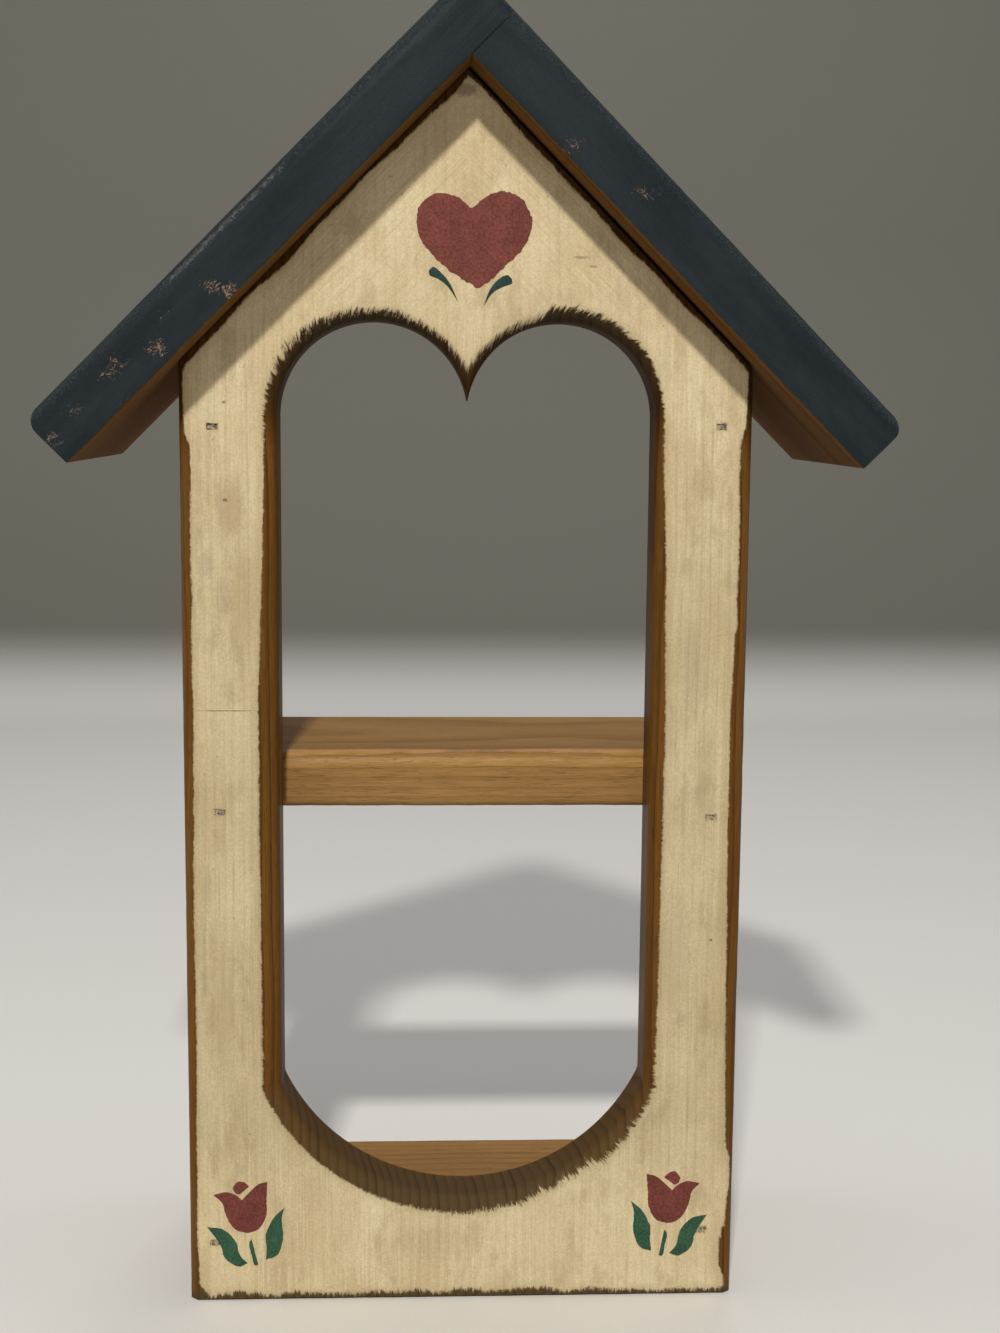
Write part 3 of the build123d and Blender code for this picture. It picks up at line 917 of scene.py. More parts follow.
def line_through(x, z):
    """The cross line that passes through a point: its way round, and how far along it."""
    ways = np.linspace(1, HALF_PATH - 1, 4000)
    start, run = hole_point(ways), outline_point(ways) - hole_point(ways)
    reach = np.array([abs(x), z]) - start
    along = (reach * run).sum(axis=1) / (run**2).sum(axis=1)
    best = np.hypot(*(reach - along[:, None] * run).T).argmin()
    return ways[best], along[best]


def front_ways():
    """Ways round the hole for the cross lines, closer together where they pass a nail."""
    half = stations(0, HALF_PATH, 1.3)
    for x, _, z in front_heads:
        near = np.array([line_through(x, z + side)[0] for side in (-DENT_REACH, DENT_REACH)])
        zone = np.linspace(near.min(), near.max(), DENT_STEPS)
        half = np.concatenate([half[(half < zone[0]) | (half > zone[-1])], zone])
    half = np.unique(np.round(half, 3))
    half = half[np.append(True, np.diff(half) > 0.08)]
    half[-1] = HALF_PATH
    return np.concatenate([half, -half[-2:0:-1]])


def across_rows(start, end):
    """Places along each cross line from the hole to the outline, as (row, line, x or z).

    The first rows cover the roll at the hole and the last the roll at the side, both spaced
    as 1 - cos, and the rest share out what is left, closer where the nails are."""
    length = np.hypot(*(end - start).T)
    share = np.linspace(0, 0.6, 160)[:, None, None]
    far = hole_distance(*np.moveaxis(start + (end - start) * share, -1, 0))
    zone = share[(far > HOLE_ROLL * 1.05).argmax(axis=0), 0, 0] * length
    turn = 1 - np.cos(np.linspace(0, math.pi / 2, 9))
    inner = turn[:, None] * zone
    outer = length - turn[:-1][::-1, None] * SIDE_ROLL * 1.1
    low = inner[-1]
    high = outer[0] - 0.6
    shares = np.unique(np.concatenate([np.linspace(0, 1, 12), np.linspace(0.58, 0.92, 24)]))[1:]
    middle = low + (high - low) * shares[:, None]
    places = np.concatenate([inner, middle, outer]) / length
    return start + (end - start) * places[..., None]


ways = front_ways()
hole_line = hole_point(ways)
outer_line = outline_point(ways)
face_rows = across_rows(hole_line, outer_line)
print("front face grid:", face_rows.shape[:2])


# %% The front board's surface
def front_surface():
    """The ring's points, as (row round the cross-section, line, xyz), and what they carry."""
    x, z = np.moveaxis(face_rows, -1, 0)
    way = np.broadcast_to(ways, x.shape)
    flat = np.stack([x, z], axis=-1)
    side, foot, slope = outline_distances(x, z)
    hole = hole_distance(x, z)
    uneven = 1 + 0.09 * ripple(flat, 38, 3) + 0.05 * ripple(flat, 9, 4)
    depth = np.maximum.reduce([
        roll_depth(hole, HOLE_ROLL * uneven),
        roll_depth(side, SIDE_ROLL * uneven),
        roll_depth(foot, FOOT_ROLL * uneven),
        roll_depth(slope, SLOPE_ROLL * uneven),
    ])
    for head_x, _, head_z in front_heads:
        wobble = 0.24 * ripple(flat, 2.4, 5)
        depth = depth + dent(x - head_x + wobble, z - head_z - wobble)
    depth = depth + 0.05 * (1 + ripple(flat, 14, 6))
    face = np.stack([x, FRONT_Y + depth, z], axis=-1)

    down = np.linspace(0, 1, 7)[1:, None, None]
    rear_edge = np.stack([outer_line[:, 0], np.full(len(ways), SIDES_Y), outer_line[:, 1]], axis=-1)
    outer_wall = face[-1] + (rear_edge - face[-1]) * down
    rear_hole = np.stack([hole_line[:, 0], np.full(len(ways), SIDES_Y), hole_line[:, 1]], axis=-1)
    back = rear_edge + (rear_hole - rear_edge) * np.linspace(0, 1, 9)[1:, None, None]
    inner_wall = rear_hole + (face[0] - rear_hole) * np.linspace(0, 1, 9)[1:-1, None, None]
    return [face, outer_wall, back, inner_wall], way, (hole, side, foot, slope)


front_parts, face_way, face_far = front_surface()
front_points = np.concatenate(front_parts)
rows, lines = front_points.shape[:2]
number = np.arange(rows * lines).reshape(rows, lines)
step_row, step_line = np.roll(number, -1, axis=0), np.roll(number, -1, axis=1)
step_both = np.roll(step_row, -1, axis=1)
front_faces = np.stack([number, step_line, step_both, step_row], axis=-1).reshape(-1, 4)

# %% [markdown]
# ## Where the cream paint stopped
#
# The painter kept off the rolled edges, but not evenly. On the left stile the brown band
# widens downwards to almost 7 mm, on the right one it wanders between 3 and 5, and round
# the arches the bristles left hairs. These few widths are given at places along the hole's
# path and blend between them. The noise in the paint's recipe does the rest.

# %% Paint on the front
ARCH_STEP = ARCH_RADIUS * (CUSP_TURN - math.acos((25.3 - ARCH_X) / ARCH_RADIUS))
SHOULDER = ARCH_RADIUS * (CUSP_TURN - math.radians(40))
BARE_FROM_HOLE = (
    (-HALF_PATH, 4.9), (-HALF_PATH + 40, 4.9), (-CORNER_END, 6.0), (-STILE_END + 60, 6.4),
    (-ARCH_END - 92, 6.5), (-ARCH_END - 60, 5.4), (-ARCH_END - 28, 4.4), (-ARCH_END, 3.9),
    (-ARCH_END + 8, 3.5), (-SHOULDER, 4.0), (-ARCH_STEP, 2.7), (-12, 2.6), (0, 3.0), (10, 2.4),
    (ARCH_STEP - 1.5, 1.6), (ARCH_STEP + 0.5, 4.2), (SHOULDER, 3.4), (ARCH_END - 8, 2.2),
    (ARCH_END + 20, 2.7), (ARCH_END + 50, 3.9), (ARCH_END + 110, 4.6), (STILE_END - 40, 4.0),
    (CORNER_END, 3.4), (HALF_PATH - 48, 5.0), (HALF_PATH - 44, 2.6), (HALF_PATH - 30, 3.0),
    (HALF_PATH - 12, 4.4), (HALF_PATH, 4.9),
)
FRINGE_AT_HOLE = (
    (-HALF_PATH, 0.40), (-HALF_PATH + 45, 0.15), (-CORNER_END, 0.25), (-STILE_END + 40, 0.07),
    (-ARCH_END - 20, 0.07), (-ARCH_END + 15, 0.7), (-SHOULDER, 0.95), (-ARCH_STEP, 0.7),
    (0, 0.35), (ARCH_STEP, 0.75), (SHOULDER, 0.4), (ARCH_END - 15, 0.22), (ARCH_END + 30, 0.10),
    (STILE_END - 20, 0.12), (CORNER_END, 0.4), (HALF_PATH - 36, 0.8), (HALF_PATH, 0.5),
)
# The same at each side, at heights above the foot, and then at the foot and the slopes.
BARE_AT_LEFT = (
    (0, 5.4), (2.5, 5.2), (4.5, 3.1), (35, 2.6), (90, 2.9), (180, 3.3), (288, 3.5), (292, 2.0),
    (314, 1.6),
)
BARE_AT_RIGHT = (
    (0, 2.0), (6, 2.6), (8, 4.2), (21.5, 4.5), (22.5, 3.0), (34, 2.0), (40, 1.0), (49, 1.3),
    (53, 2.9), (90, 3.6), (150, 5.0), (195, 4.8), (228, 4.3), (231, 3.5), (290, 3.8), (296, 2.4),
    (314, 2.0),
)
BARE_AT_FOOT = 1.9
BARE_AT_SLOPE = 1.7
# How ragged the paint is at a side, at the foot and at a slope.
FRINGE_ELSEWHERE = (0.06, 0.42, 0.10)
# Lengths that set the outer edges' noise apart from the hole's and from each other's.
SIDE_SHIFT, FOOT_SHIFT, SLOPE_SHIFT = 500, 1000, 1500


def front_paint():
    """What the paint's recipe reads on the face: how far inside the paint, how ragged, and the
    way along the nearest edge with the distance from it."""
    x, _, z = np.moveaxis(front_parts[0], -1, 0)
    hole, side, foot, slope = face_far
    bare_hole = np.interp(face_way, *zip(*BARE_FROM_HOLE))
    at_left, at_right = (np.interp(z, *zip(*bare)) for bare in (BARE_AT_LEFT, BARE_AT_RIGHT))
    bare_side = np.where(x < 0, at_left, at_right)
    bare_side = bare_side + 0.3 * ripple(z[..., None], 40, 7)
    bare_foot = BARE_AT_FOOT + 0.8 * ripple(x[..., None], 34, 8) + 1.6 * smooth((x + 87) / -4)
    bare_slope = BARE_AT_SLOPE + 0.7 * ripple(x[..., None], 30, 9)
    reaches = np.stack([hole - bare_hole, side - bare_side, foot - bare_foot, slope - bare_slope])
    # Round each nail head the paint stops, so the dent's walls show the dark stain: a painted shade
    # for the gap round the head.
    for head_x, _, head_z in front_heads:
        past = head_distance(x - head_x, z - head_z)
        reaches = np.minimum(reaches, np.where(past < 2, 2.5 * (past + 0.25), 99))
    nearest = reaches.argmin(axis=0)
    fringe = np.choose(nearest, [np.interp(face_way, *zip(*FRINGE_AT_HOLE)), *FRINGE_ELSEWHERE])
    slant = 0.5 * smooth((ARCH_END + 10 - np.abs(face_way)) / 20)
    hole_along = face_way - slant * hole
    along = np.choose(nearest, [hole_along, z + SIDE_SHIFT, x + FOOT_SHIFT, x + SLOPE_SHIFT])
    away = np.choose(nearest, [hole, side, foot, slope])
    return reaches.min(axis=0), fringe, np.stack([along, away, np.zeros_like(x)], axis=-1)


def end_share():
    """How much of the pine's end grain shows: the upright part of each surface's direction."""
    lean = np.gradient(hole_line, axis=0)
    hole_end = np.abs(lean[:, 0]) / np.maximum(np.hypot(*lean.T), 1e-9)
    hole, _, foot, slope = face_far
    face = np.maximum.reduce([
        hole_end * smooth(1.9 - hole / HOLE_ROLL),
        smooth(1.8 - foot / 2.5),
        0.7 * np.clip(1 - slope / 0.5, 0, 1),
    ])
    outer_z = outer_line[:, 1]
    outer_end = np.select([outer_z < 0.01, outer_z > EAVE + 0.01], [1.0, 0.7], 0.0)
    walls = [
        np.broadcast_to(end, part.shape[:2])
        for end, part in zip((outer_end, 0.0, hole_end), front_parts[1:])
    ]
    return np.concatenate([face, *walls])


FRONT_PITH = (-160.0, -40.0)
UNPAINTED = -9.0


def finish_front():
    """Puts the front board together, with its pine, its paint and its end grain."""
    reach, fringe, bristle = front_paint()
    bare_rows = rows - len(reach)
    points = front_points.reshape(-1, 3)
    x, y, z = points.T
    figure = np.stack([z, x - FRONT_PITH[0], y - FRONT_PITH[1]], axis=-1)
    carried = {
        "figure_mm": figure,
        "end_grain": end_share().ravel(),
        "paint_mm": np.concatenate([reach, np.full((bare_rows, lines), UNPAINTED)]).ravel(),
        "fringe_mm": np.concatenate([fringe, np.zeros((bare_rows, lines))]).ravel(),
        "bristle_mm": np.concatenate([bristle, np.zeros((bare_rows, lines, 3))]).reshape(-1, 3),
    }
    make_piece(
        "front_panel", points, front_faces, carried, cream_front, "front_board"
    )


finish_front()

# %% [markdown]
# ## Sides, shelf and base
#
# These four are plain stained boards. Each is a block skin in the board's own ways: along
# the grain, across it and through it. The pith is put at another place for each, so no two
# show the same figure. The side boards' tops are sawn to the roof's slope, which is done by
# lowering the top of the block where it is further out. The shelf's front edge is smoother
# than the rest, where hands and things have rubbed it, and paler as a painted highlight.

# %% Stained boards
def pine_carried(points, pith, ends):
    """The figure and end grain of a board given as (along, across, through) in mm."""
    low, high = ends
    from_end = np.minimum(points[:, 0] - low, high - points[:, 0])
    figure = points - np.array([0.0, *pith])
    return {"figure_mm": figure, "end_grain": np.clip(1 - from_end / 0.7, 0, 1)}


def make_side(side, name, pith, seed):
    """A side board: along is z, across is y and through is x, all at their final places.

    Its top is hidden under the roof, so no end grain is drawn there."""
    inner, outer = INNER_HALF, HALF_WIDTH
    top = PEAK - INNER_HALF
    heads = side_heads[np.sign(side_heads[:, 0]) == side]
    lines = [
        stations(0, top, 3.2, (0.7, 0.7), np.unique(np.round(heads[:, 2], 2))),
        stations(SIDES_Y, BACK_Y, 3.0, (0.6, 1.2), np.unique(np.round(heads[:, 1], 2))),
        stations(inner, outer, 3.2, (1.2, 1.2)),
    ]
    points, faces = block_skin(lines)
    worn = 1 + 0.3 * ripple(points, 22, seed)
    for through, out in ((outer, 1), (inner, -1)):
        roll_edge(points, (1, BACK_Y, 1), (2, through, out), 1.1 * worn)
    roll_edge(points, (1, SIDES_Y, -1), (2, outer, 1), 0.55 * worn)
    roll_edge(points, (0, 0, -1), (2, outer, 1), 0.6 * worn)
    roll_edge(points, (0, 0, -1), (1, BACK_Y, 1), 0.6 * worn)
    outside = points[:, 2] > outer - 0.02
    for _, head_y, head_z in heads:
        hole = dent(points[:, 0] - head_z, points[:, 1] - head_y)
        points[:, 2] -= np.where(outside, hole, 0)
    saw = smooth((points[:, 0] - 0.7 * top) / (0.3 * top))
    points[:, 0] -= (points[:, 2] - inner) * np.where(points[:, 0] > top - 0.75, 1, saw)
    hidden_end = 2 * top
    carried = pine_carried(points, pith, (0, hidden_end))
    placed = np.stack([side * points[:, 2], points[:, 1], points[:, 0]], axis=-1)
    node = name.replace("panel", "board")
    make_piece(name, placed, faces, carried, stained_pine, node)


def make_cross(name, low, high, rolls, pith, seed, node):
    """The shelf or the base: along is x, across is y and through is z. rolls are the radii of
    its front top, front bottom, back top and back bottom edges."""
    low, high = np.array(low) / MM, np.array(high) / MM
    lines = [
        stations(low[0], high[0], 3.0, (0.5, 0.5)),
        stations(low[1], high[1], 3.0, (max(rolls[:2]), max(rolls[2:]))),
        stations(low[2], high[2], 3.0, (max(rolls[1::2]), max(rolls[::2]))),
    ]
    points, faces = block_skin(lines)
    worn = 1 + 0.12 * ripple(points[:, :1], 30, seed)
    front, back, top, bottom = (1, low[1], -1), (1, high[1], 1), (2, high[2], 1), (2, low[2], -1)
    edges = ((front, top), (front, bottom), (back, top), (back, bottom))
    for radius, (one, two) in zip(rolls, edges):
        roll_edge(points, one, two, radius * worn)
    carried = pine_carried(points, pith, (low[0], high[0]))
    from_corner = np.hypot(points[:, 1] - low[1], points[:, 2] - high[2])
    # The front top edge is rubbed smoother, and made paler there as a painted highlight.
    carried["rubbed_and_painted_highlight"] = smooth(1.5 - from_corner / rolls[0]) if rolls[0] > 1 else 0 * from_corner
    make_piece(name, points, faces, carried, light_pine, node)


SHELF_ROLLS = (5.5, 3.0, 1.0, 1.0)
BASE_ROLLS = (0.5, 0.5, 1.0, 0.5)
make_side(-1, "left_side_panel", (-60.0, 20.0), 11)
make_side(1, "right_side_panel", (80.0, 40.0), 12)
make_cross("shelf_panel", shelf_low, shelf_high, SHELF_ROLLS, (30.0, 60.0), 13, "middle_shelf")
make_cross("base_panel", base_low, base_high, BASE_ROLLS, (-25.0, -70.0), 14, "base_board")

# %% [markdown]
# ## The roof
#
# Two boards at 45 degrees, nailed at the ridge, where the left one runs over the other's end.
# Each is made lying flat, with the distance down the slope as its length, and then leaned
# into place. Its weather edges are rolled, and every nail through it leaves a hole whose
# floor is level, because the nails were driven straight down.

# %% Roof boards
SLOPE_LENGTH = EAVE_REACH / SLANT
ROOF_BACK_Y = ROOF_FRONT_Y + ROOF_DEPTH


def lean(points, side):
    """From (down the slope, y, out from the underside) to x, y, z at 45 degrees."""
    down, y, out = points.T
    return np.stack([side * (down + out) * SLANT, y, PEAK + (out - down) * SLANT], axis=-1)


def unlean(points, side):
    """The other way: from x, y, z to (down the slope, y, out from the underside)."""
    x, y, z = points.T
    fall, reach = (PEAK - z) * SLANT, side * x * SLANT
    return np.stack([reach + fall, y, reach - fall], axis=-1)


def blob(points, at, size):
    """One at a place, fading to nothing about size mm away, as a bell curve does."""
    gap = (points - np.array(at)) / np.array(size)
    return np.exp(-(gap**2).sum(axis=-1))


# Where (x, z) something hit a roof board's front edge, and how hard.
LEFT_KNOCKS = (
    (-76, 336, 1.0), (-72, 335, 0.9), (-81, 337, 0.8), (-93, 328, 0.7), (-97, 319, 0.9),
    (-95, 317, 0.8), (-108, 313.5, 1.0), (-111.5, 309.5, 1.0), (-104, 300.5, 0.8),
    (-121, 299, 0.9), (-127.5, 290, 1.1),
)
RIGHT_KNOCKS = ((51.7, 367, 0.7), (56, 366, 0.7), (32, 381.5, 0.6), (30, 378.7, 0.6))


def roof_wear(placed, flat, side):
    """Knocks, a chalky line partly painted as highlight, and a painted highlight on the top roll."""
    at_front = smooth((ROOF_FRONT_Y + 7 - placed[:, 1]) / 5)
    knocks = LEFT_KNOCKS if side < 0 else RIGHT_KNOCKS
    face = placed[:, ::2]
    knocked = sum(much * blob(face, (x, z), (3.8, 2.6)) for x, z, much in knocks) * at_front
    chalk_and_highlight = np.zeros(len(placed))
    # A chalky line along the left board's roll, partly a painted highlight.
    if side < 0:
        run = smooth((flat[:, 0] - 55) / 15) * smooth((122 - flat[:, 0]) / 12)
        near_roll = np.exp(-(((BOARD - 2.2 - flat[:, 2]) / 1.3) ** 2))
        chalk_and_highlight = run * near_roll * at_front
    # A painted highlight along the front's top roll, near the board's front.
    rolled = smooth((flat[:, 2] - BOARD + 4.5) / 3) * smooth((ROOF_FRONT_Y + 5 - placed[:, 1]) / 3)
    return np.stack([knocked, chalk_and_highlight, rolled], axis=-1)


def make_roof(side, name, node, pith, seed):
    """A roof board, side -1 for the left one, which is longer by a board's thickness."""
    upper = -BOARD if side < 0 else 0.0
    heads = unlean(roof_heads[np.sign(roof_heads[:, 0]) == side], side)
    drops = heads[:, 0] - (BOARD - heads[:, 2])
    upper_roll = ROOF_ROLL if side < 0 else 0.5
    down_marks, y_marks = (np.unique(np.round(marks, 1)) for marks in (drops, heads[:, 1]))
    lines = [
        stations(upper, SLOPE_LENGTH, 1.6, (upper_roll, ROOF_ROLL), down_marks),
        stations(ROOF_FRONT_Y, ROOF_BACK_Y, 2.6, (ROOF_ROLL, ROOF_ROLL), y_marks),
        stations(0, BOARD, 1.7, (0.5, ROOF_ROLL)),
    ]
    points, faces = block_skin(lines)
    under = points[:, 2] < 0.01
    worn = 1.16 + 0.10 * ripple(points, 34, seed) + 0.05 * ripple(points, 8, seed + 1)
    top, eave = (2, BOARD, 1), (0, SLOPE_LENGTH, 1)
    for y, out in ((ROOF_FRONT_Y, -1), (ROOF_BACK_Y, 1)):
        roll_edge(points, (1, y, out), top, ROOF_ROLL * worn)
        roll_edge(points, (1, y, out), (2, 0, -1), 0.5 * worn)
        if side < 0:
            roll_edge(points, (1, y, out), (0, upper, -1), ROOF_ROLL * worn)
    roll_edge(points, eave, top, ROOF_ROLL * worn)
    roll_edge(points, eave, (2, 0, -1), 0.6 * worn)
    if side < 0:
        roll_edge(points, (0, upper, -1), top, ROOF_ROLL * worn)
        for _, head_y, _ in ridge_heads:
            hole = dent(points[:, 2] - BOARD / 2, points[:, 1] - head_y)
            points[:, 0] += np.where(points[:, 0] < upper + 0.02, hole, 0)
    placed = lean(points, side)
    weather = points[:, 2] > BOARD - 0.05
    for x, y, z in roof_heads[np.sign(roof_heads[:, 0]) == side]:
        past = head_distance(placed[:, 0] - x, placed[:, 1] - y)
        over = smooth(1 - (past - 0.05) / DENT_WALL)
        floor = np.minimum(placed[:, 2], z - 0.15)
        placed[:, 2] += np.where(weather, over, 0) * (floor - placed[:, 2])
    down, y, out = points.T
    from_rim = np.minimum.reduce([y - ROOF_FRONT_Y, ROOF_BACK_Y - y, SLOPE_LENGTH - down])
    slate = np.where(under, -0.35 - np.clip(0.5 * from_rim, 0, 1.6), out - 0.12)
    carried = pine_carried(points, pith, (upper, SLOPE_LENGTH))
    carried["board_mm"] = points
    carried["slate_mm"] = slate
    carried["scuff_and_highlight"] = roof_wear(placed, points, side)
    carried["bristle_mm"] = np.stack([down + y, out, 0 * down], axis=-1)
    make_piece(name, placed, faces, carried, slate_roof, node)


make_roof(-1, "left_roof_panel", "left_roof_board", (12.0, 62.0), 21)
make_roof(1, "right_roof_panel", "right_roof_board", (-30.0, -55.0), 24)

# %% [markdown]
# ## Stencilled heart and tulips
#
# These were dabbed through a stencil with an almost dry brush, so the paint is a thin raised
# film with a pebbled face and a slightly crumbled rim. Each shape is a sheet of film between
# two edge curves that run from one end of it to the other: every cross line joins a point of
# the lower edge to one of the upper edge. A shape needs only a handful of points that way.

# %% Stencil paint
STENCIL_RELIEF = 0.22
STENCIL_GLOSS = 0.3


def make_stencil_paint(name, dark, light, gap):
    """Dabbed paint: two close shades mixed in pebbles, with the cream showing in pinholes."""
    recipe = Recipe(name)
    place = recipe.object_mm((1, 0, 1))
    pebbles = recipe.noise(place, 1.15, 3.0, 0.62)
    clouds = recipe.noise(place, 0.16, 3.0, 0.6)
    colour = recipe.mix(recipe.ease(pebbles, 0.32, 0.68), dark, light)
    colour = recipe.tint(colour, recipe.ease(clouds, 0.25, 0.75, 0.80, 1.18))
    pin = recipe.ease(recipe.noise(place, 0.9, 2.0, 0.6), 0.74, 0.78, 0.0, 0.75)
    colour = recipe.mix(pin, colour, gap)
    roughness = recipe.ease(pebbles, 0.2, 0.8, 0.74, 0.52)
    return recipe.finish(colour, roughness, pebbles, STENCIL_RELIEF, STENCIL_GLOSS)


CREAM = (0.68, 0.55, 0.33)
PALER_GREEN = (0.06, 0.10, 0.08)
barn_red = make_stencil_paint("barn_red", (0.136, 0.029, 0.021), (0.212, 0.057, 0.043), CREAM)
leaf_green = make_stencil_paint("leaf_green", (0.021, 0.071, 0.037), (0.041, 0.124, 0.070), CREAM)
dark_green = make_stencil_paint(
    "dark_green", (0.0115, 0.036, 0.030), (0.019, 0.056, 0.044), PALER_GREEN
)

# %% Film between two edge curves
FILM_PROUD = 0.13
FILM_RIM = 0.55


def curve_through(points, count):
    """A smooth curve through points, by cubic pieces whose slope at a point is that of the line
    between its two neighbours."""
    points = np.array(points, float)
    before = np.concatenate([2 * points[:1] - points[1:2], points[:-1]])
    after = np.concatenate([points[1:], 2 * points[-1:] - points[-2:-1]])
    slopes = (after - before) / 2
    place = np.linspace(0, len(points) - 1, count)
    piece = np.minimum(place.astype(int), len(points) - 2)
    t = (place - piece)[:, None]
    a, b, da, db = points[piece], points[piece + 1], slopes[piece], slopes[piece + 1]
    return ((2 * t**3 - 3 * t**2 + 1) * a + (t**3 - 2 * t**2 + t) * da
            + (3 * t**2 - 2 * t**3) * b + (t**3 - t**2) * db)


def edge_curve(runs, count):
    """Smooth runs joined at sharp corners, shared out evenly by length."""
    dense = np.concatenate([curve_through(run, 80)[min(i, 1):] for i, run in enumerate(runs)])
    length = np.append(0, np.cumsum(np.hypot(*np.diff(dense, axis=0).T)))
    want = np.linspace(0, length[-1], count)
    return np.stack([np.interp(want, length, part) for part in dense.T], axis=-1)


def make_film(name, lower, upper, material, counts, seed, crumble=0.22, place=lambda p: p, slot=None):
    """A closed film of paint on the front's face between two edge curves.

    The face is lower + (upper - lower) * v, its rim wanders by the crumble, and it stands
    proud by a height that falls away over the last half millimetre."""
    long, short = counts
    low_edge, high_edge = place(edge_curve(lower, long)), place(edge_curve(upper, long))
    lines = [np.arange(long), np.linspace(0, 1, short), np.array([0.0, 1.0])]
    points, faces = block_skin(lines)
    u, v, front = points[:, 0].astype(int), points[:, 1], points[:, 2]
    v = v * (1 - 0.35 * np.sin(2 * math.pi * v) / math.pi)
    flat = low_edge[u] + (high_edge[u] - low_edge[u]) * v[:, None]
    middle = flat.mean(axis=0)
    outwards = (flat - middle) / np.maximum(np.hypot(*(flat - middle).T), 1e-6)[:, None]
    rim = (np.abs(v - 0.5) > 0.499) | (u == 0) | (u == long - 1)
    wander = crumble * (0.6 * ripple(flat, 1.9, seed) + 0.6 * ripple(flat, 0.8, seed + 1))
    flat = flat + outwards * (np.where(rim, wander, 0))[:, None]
    span = np.hypot(*(high_edge - low_edge).T)[u]
    from_rim = np.minimum.reduce([v * span, (1 - v) * span, np.full(len(v), 9.0)])
    dabs = 0.8 + 0.3 * ripple(flat, 1.3, seed + 2)
    thick = FILM_PROUD * (0.25 + 0.75 * smooth(from_rim / FILM_RIM)) * dabs
    y = np.where(front > 0.5, FRONT_Y - thick, FRONT_Y + 0.45)
    placed = np.stack([flat[:, 0], y, flat[:, 1]], axis=-1)
    piece = make_piece(name, placed, faces, {}, material)
    close_poles(piece)


def close_poles(piece):
    """Merges points that fell together at the ends of a film."""
    shape = bmesh.new()
    shape.from_mesh(piece.data)
    bmesh.ops.remove_doubles(shape, verts=shape.verts, dist=1e-6)
    bmesh.ops.dissolve_degenerate(shape, edges=shape.edges, dist=1e-6)
    shape.to_mesh(piece.data)
    shape.free()


# %% Heart and its leaves
HEART_LOWER = (
    ((-16.6, 358.5), (-15.3, 353.3), (-11.0, 347.9), (-5.0, 342.9), (3.3, 338.0)),
    ((3.3, 338.0), (9.6, 343.2), (16.6, 350.1), (19.3, 355.0), (20.0, 359.6)),
)
HEART_UPPER = (
    ((-16.6, 358.5), (-15.6, 363.4), (-12.0, 366.8), (-7.2, 367.4), (-2.4, 365.6), (0.9, 362.6)),
    ((0.9, 362.6), (4.0, 365.6), (8.0, 367.9), (12.6, 368.0), (17.0, 365.6), (20.0, 359.6)),
)
make_film("heart", HEART_LOWER, HEART_UPPER, barn_red, (110, 48), 31, 0.35)

LEFT_SPRIG = (
    (((-12.7, 343.5), (-12.2, 342.0), (-9.6, 340.9), (-6.6, 338.6), (-3.2, 333.8)),),
    (((-12.7, 343.5), (-11.2, 344.7), (-8.9, 343.1), (-6.0, 339.7), (-3.2, 333.8)),),
)
RIGHT_SPRIG = (
    (((4.8, 332.6), (7.4, 336.6), (10.4, 338.5), (13.7, 339.8), (13.6, 341.4)),),
    (((4.8, 332.6), (6.5, 337.3), (9.0, 340.7), (12.0, 342.4), (13.6, 341.4)),),
)
make_film("heart_leaf_left", *LEFT_SPRIG, dark_green, (44, 11), 32, 0.08, slot="leaf_green")
make_film("heart_leaf_right", *RIGHT_SPRIG, dark_green, (44, 11), 33, 0.08, slot="leaf_green")

# %% Tulips, one stencil used twice
# Lower edge, upper edge, points along and across, and paint. The points are the right-hand
# tulip's, from the middle of its stem's foot.
TULIP = {
    "bloom": (
        (((-5.2, 29.1), (-4.6, 22.5), (-4.3, 17.6), (-1.6, 12.9), (3.0, 11.6), (7.0, 13.6),
          (9.3, 18.2), (10.3, 22.6), (13.1, 25.6)),),
        (((-5.2, 29.1), (-2.0, 28.3), (1.2, 25.6), (3.7, 23.2)),
         ((3.7, 23.2), (5.7, 25.2), (9.0, 26.4), (13.1, 25.6))),
        (70, 30), barn_red,
    ),
    "bud": (
        (((0.9, 27.9), (2.6, 26.5), (4.4, 25.3), (5.9, 26.1), (6.4, 27.8)),),
        (((0.9, 27.9), (2.4, 29.4), (4.6, 29.8), (6.4, 27.8)),),
        (26, 10), barn_red,
    ),
    "leaf_left": (
        (((-10.4, 19.6), (-9.3, 15.6), (-9.4, 9.0), (-7.2, 3.2), (-3.1, 1.6)),),
        (((-10.4, 19.6), (-6.6, 16.2), (-3.7, 10.6), (-3.6, 5.6), (-3.1, 1.6)),),
        (46, 14), leaf_green,
    ),
    "leaf_right": (
        (((3.1, 0.7), (6.4, -0.2), (10.6, 3.0), (12.0, 8.2), (15.8, 14.4)),),
        (((3.1, 0.7), (5.4, 3.6), (6.8, 9.0), (10.6, 13.2), (15.8, 14.4)),),
        (46, 14), leaf_green,
    ),
    "stem": (
        (((-0.5, -0.1), (0.1, 3.0), (0.6, 6.0), (1.3, 9.2)),),
        (((-0.5, -0.1), (0.9, 0.1), (1.5, 3.4), (2.2, 7.4), (1.3, 9.2)),),
        (24, 6), leaf_green,
    ),
}
TULIP_FEET = {"right": ((67.6, 14.2), 1, 0.0), "left": ((-69.6, 12.6), -1, math.radians(3.0))}


def stand_tulip(foot, mirror, turn):
    """Takes stencil points to the board: mirrored, turned about the foot, then moved there."""
    def place(points):
        x, z = points[:, 0] * mirror, points[:, 1]
        across = x * math.cos(turn) - z * math.sin(turn)
        up = x * math.sin(turn) + z * math.cos(turn)
        return np.stack([foot[0] + across, foot[1] + up], axis=-1)
    return place


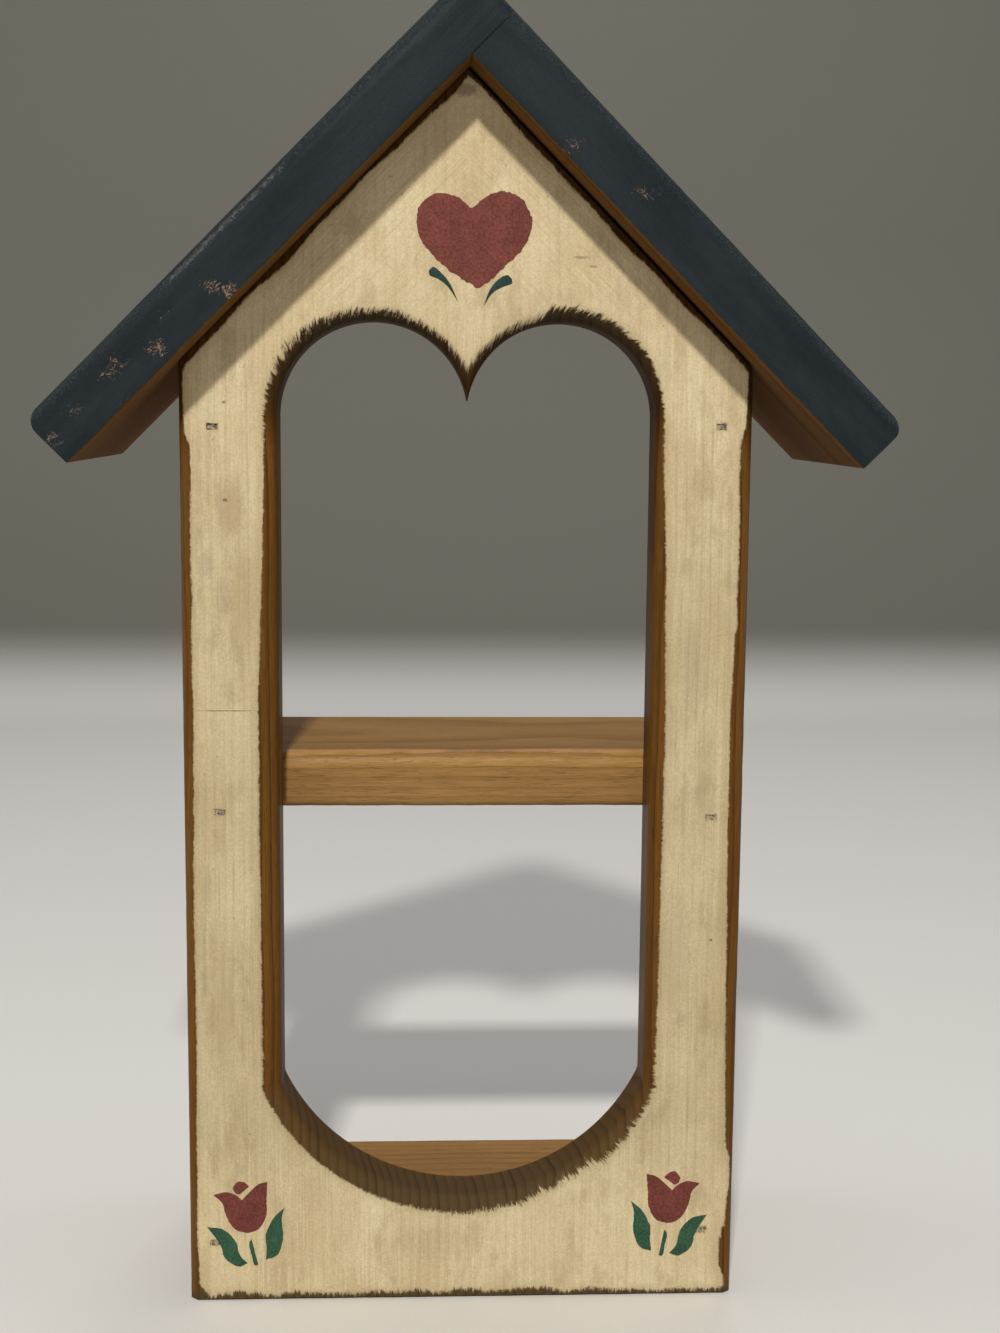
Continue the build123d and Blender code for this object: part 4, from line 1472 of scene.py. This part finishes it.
for hand, (foot, mirror, turn) in TULIP_FEET.items():
    for index, (part, (lower, upper, counts, material)) in enumerate(TULIP.items()):
        make_film(f"tulip_{part}_{hand}", lower, upper, material, counts, 40 + index, 0.14,
                  stand_tulip(foot, mirror, turn))

# %% [markdown]
# ## Nails
#
# The nail heads are already right in the CAD model, so they stay and only get their steel:
# dull grey with a little rust, and remains of the cream paint that was brushed over them.

# %% Nail steel
RUST = (0.085, 0.060, 0.040)
STEEL = (0.300, 0.275, 0.235)
PAINT_REMAINS = (0.520, 0.430, 0.270)
NAIL_RELIEF = 0.06


def make_nail_steel():
    """Dull steel with rusty blotches, under patches of cream paint."""
    recipe = Recipe("nail_steel")
    place = recipe.object_mm()
    blotches = recipe.noise(place, 1.4, 3.0, 0.6)
    scratches = recipe.stretched(place, (6.0, 6.0, 1.2), 2.0, 0.6)
    steel = recipe.mix(recipe.ease(blotches, 0.42, 0.62), RUST, STEEL)
    paint = recipe.ease(recipe.noise(place, 0.8, 4.0, 0.7), 0.46, 0.54)
    colour = recipe.mix(paint, steel, PAINT_REMAINS)
    recipe.shader.inputs["Metallic"].default_value = 0.3
    roughness = recipe.ease(scratches, 0.3, 0.7, 0.34, 0.62)
    return recipe.finish(colour, roughness, scratches, NAIL_RELIEF)


nail_steel = make_nail_steel()
nail_nodes = [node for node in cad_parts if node.endswith("_nails")]
for node in nail_nodes:
    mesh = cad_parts[node].data
    mesh.materials.clear()
    mesh.materials.append(nail_steel)
print("nails in steel:", nail_nodes)

# %% [markdown]
# ## Floor
#
# A sheet of pale card lies under the object and curves up behind it. Its profile is a flat
# run, a quarter circle and an upright run, carried sideways. Where it curves up, the card is
# painted dark grey, a painted shade on the wall behind.

# %% Floor and backdrop
CARD_BEND = 0.5
CARD_FRONT, CARD_BACK, CARD_TOP = -2.2, 1.62, 2.8
CARD_HALF = 3.0
# The card turns from pale to a painted shade of dark grey over these heights, where it begins to
# curve up.
CARD_SHADE_HEIGHTS = (0.0, 0.07)
CARD_PALE = ((0.76, 0.755, 0.74), (0.80, 0.795, 0.78))
CARD_PAINTED_SHADE = (0.182, 0.175, 0.152)
CARD_RELIEF = 0.05


def make_card():
    """Card along the profile (y, z), which is flat, a quarter circle, then upright."""
    turn = np.linspace(0, math.pi / 2, 24)
    y = np.concatenate([[CARD_FRONT], CARD_BACK - CARD_BEND + CARD_BEND * np.sin(turn), [CARD_BACK]])
    z = np.concatenate([[0.0], CARD_BEND - CARD_BEND * np.cos(turn), [CARD_TOP]])
    points = np.array([(x, y[i], z[i]) for x in (-CARD_HALF, CARD_HALF) for i in range(len(y))])
    row = np.arange(len(y) - 1)
    faces = np.stack([row, row + len(y), row + len(y) + 1, row + 1], axis=-1)
    mesh = bpy.data.meshes.new("card")
    mesh.from_pydata(points.tolist(), [], faces.tolist())
    mesh.shade_smooth()
    card = bpy.data.objects.new("card", mesh)
    bpy.context.collection.objects.link(card)
    recipe = Recipe("card")
    coords = recipe.node("ShaderNodeTexCoord", {}).outputs["Object"]
    speckle = recipe.noise(coords, 900.0, 2.0, 0.5)
    height = recipe.split(coords)[2]
    pale = recipe.mix(speckle, *CARD_PALE)
    # Where the card curves up it is painted dark grey, a painted shade on the wall behind.
    colour = recipe.mix(recipe.ease(height, *CARD_SHADE_HEIGHTS), pale, CARD_PAINTED_SHADE)
    mesh.materials.append(recipe.finish(colour, 0.7, speckle, CARD_RELIEF))


make_card()
print(f"card: {2 * CARD_HALF} m wide, its back at {CARD_BACK} m")
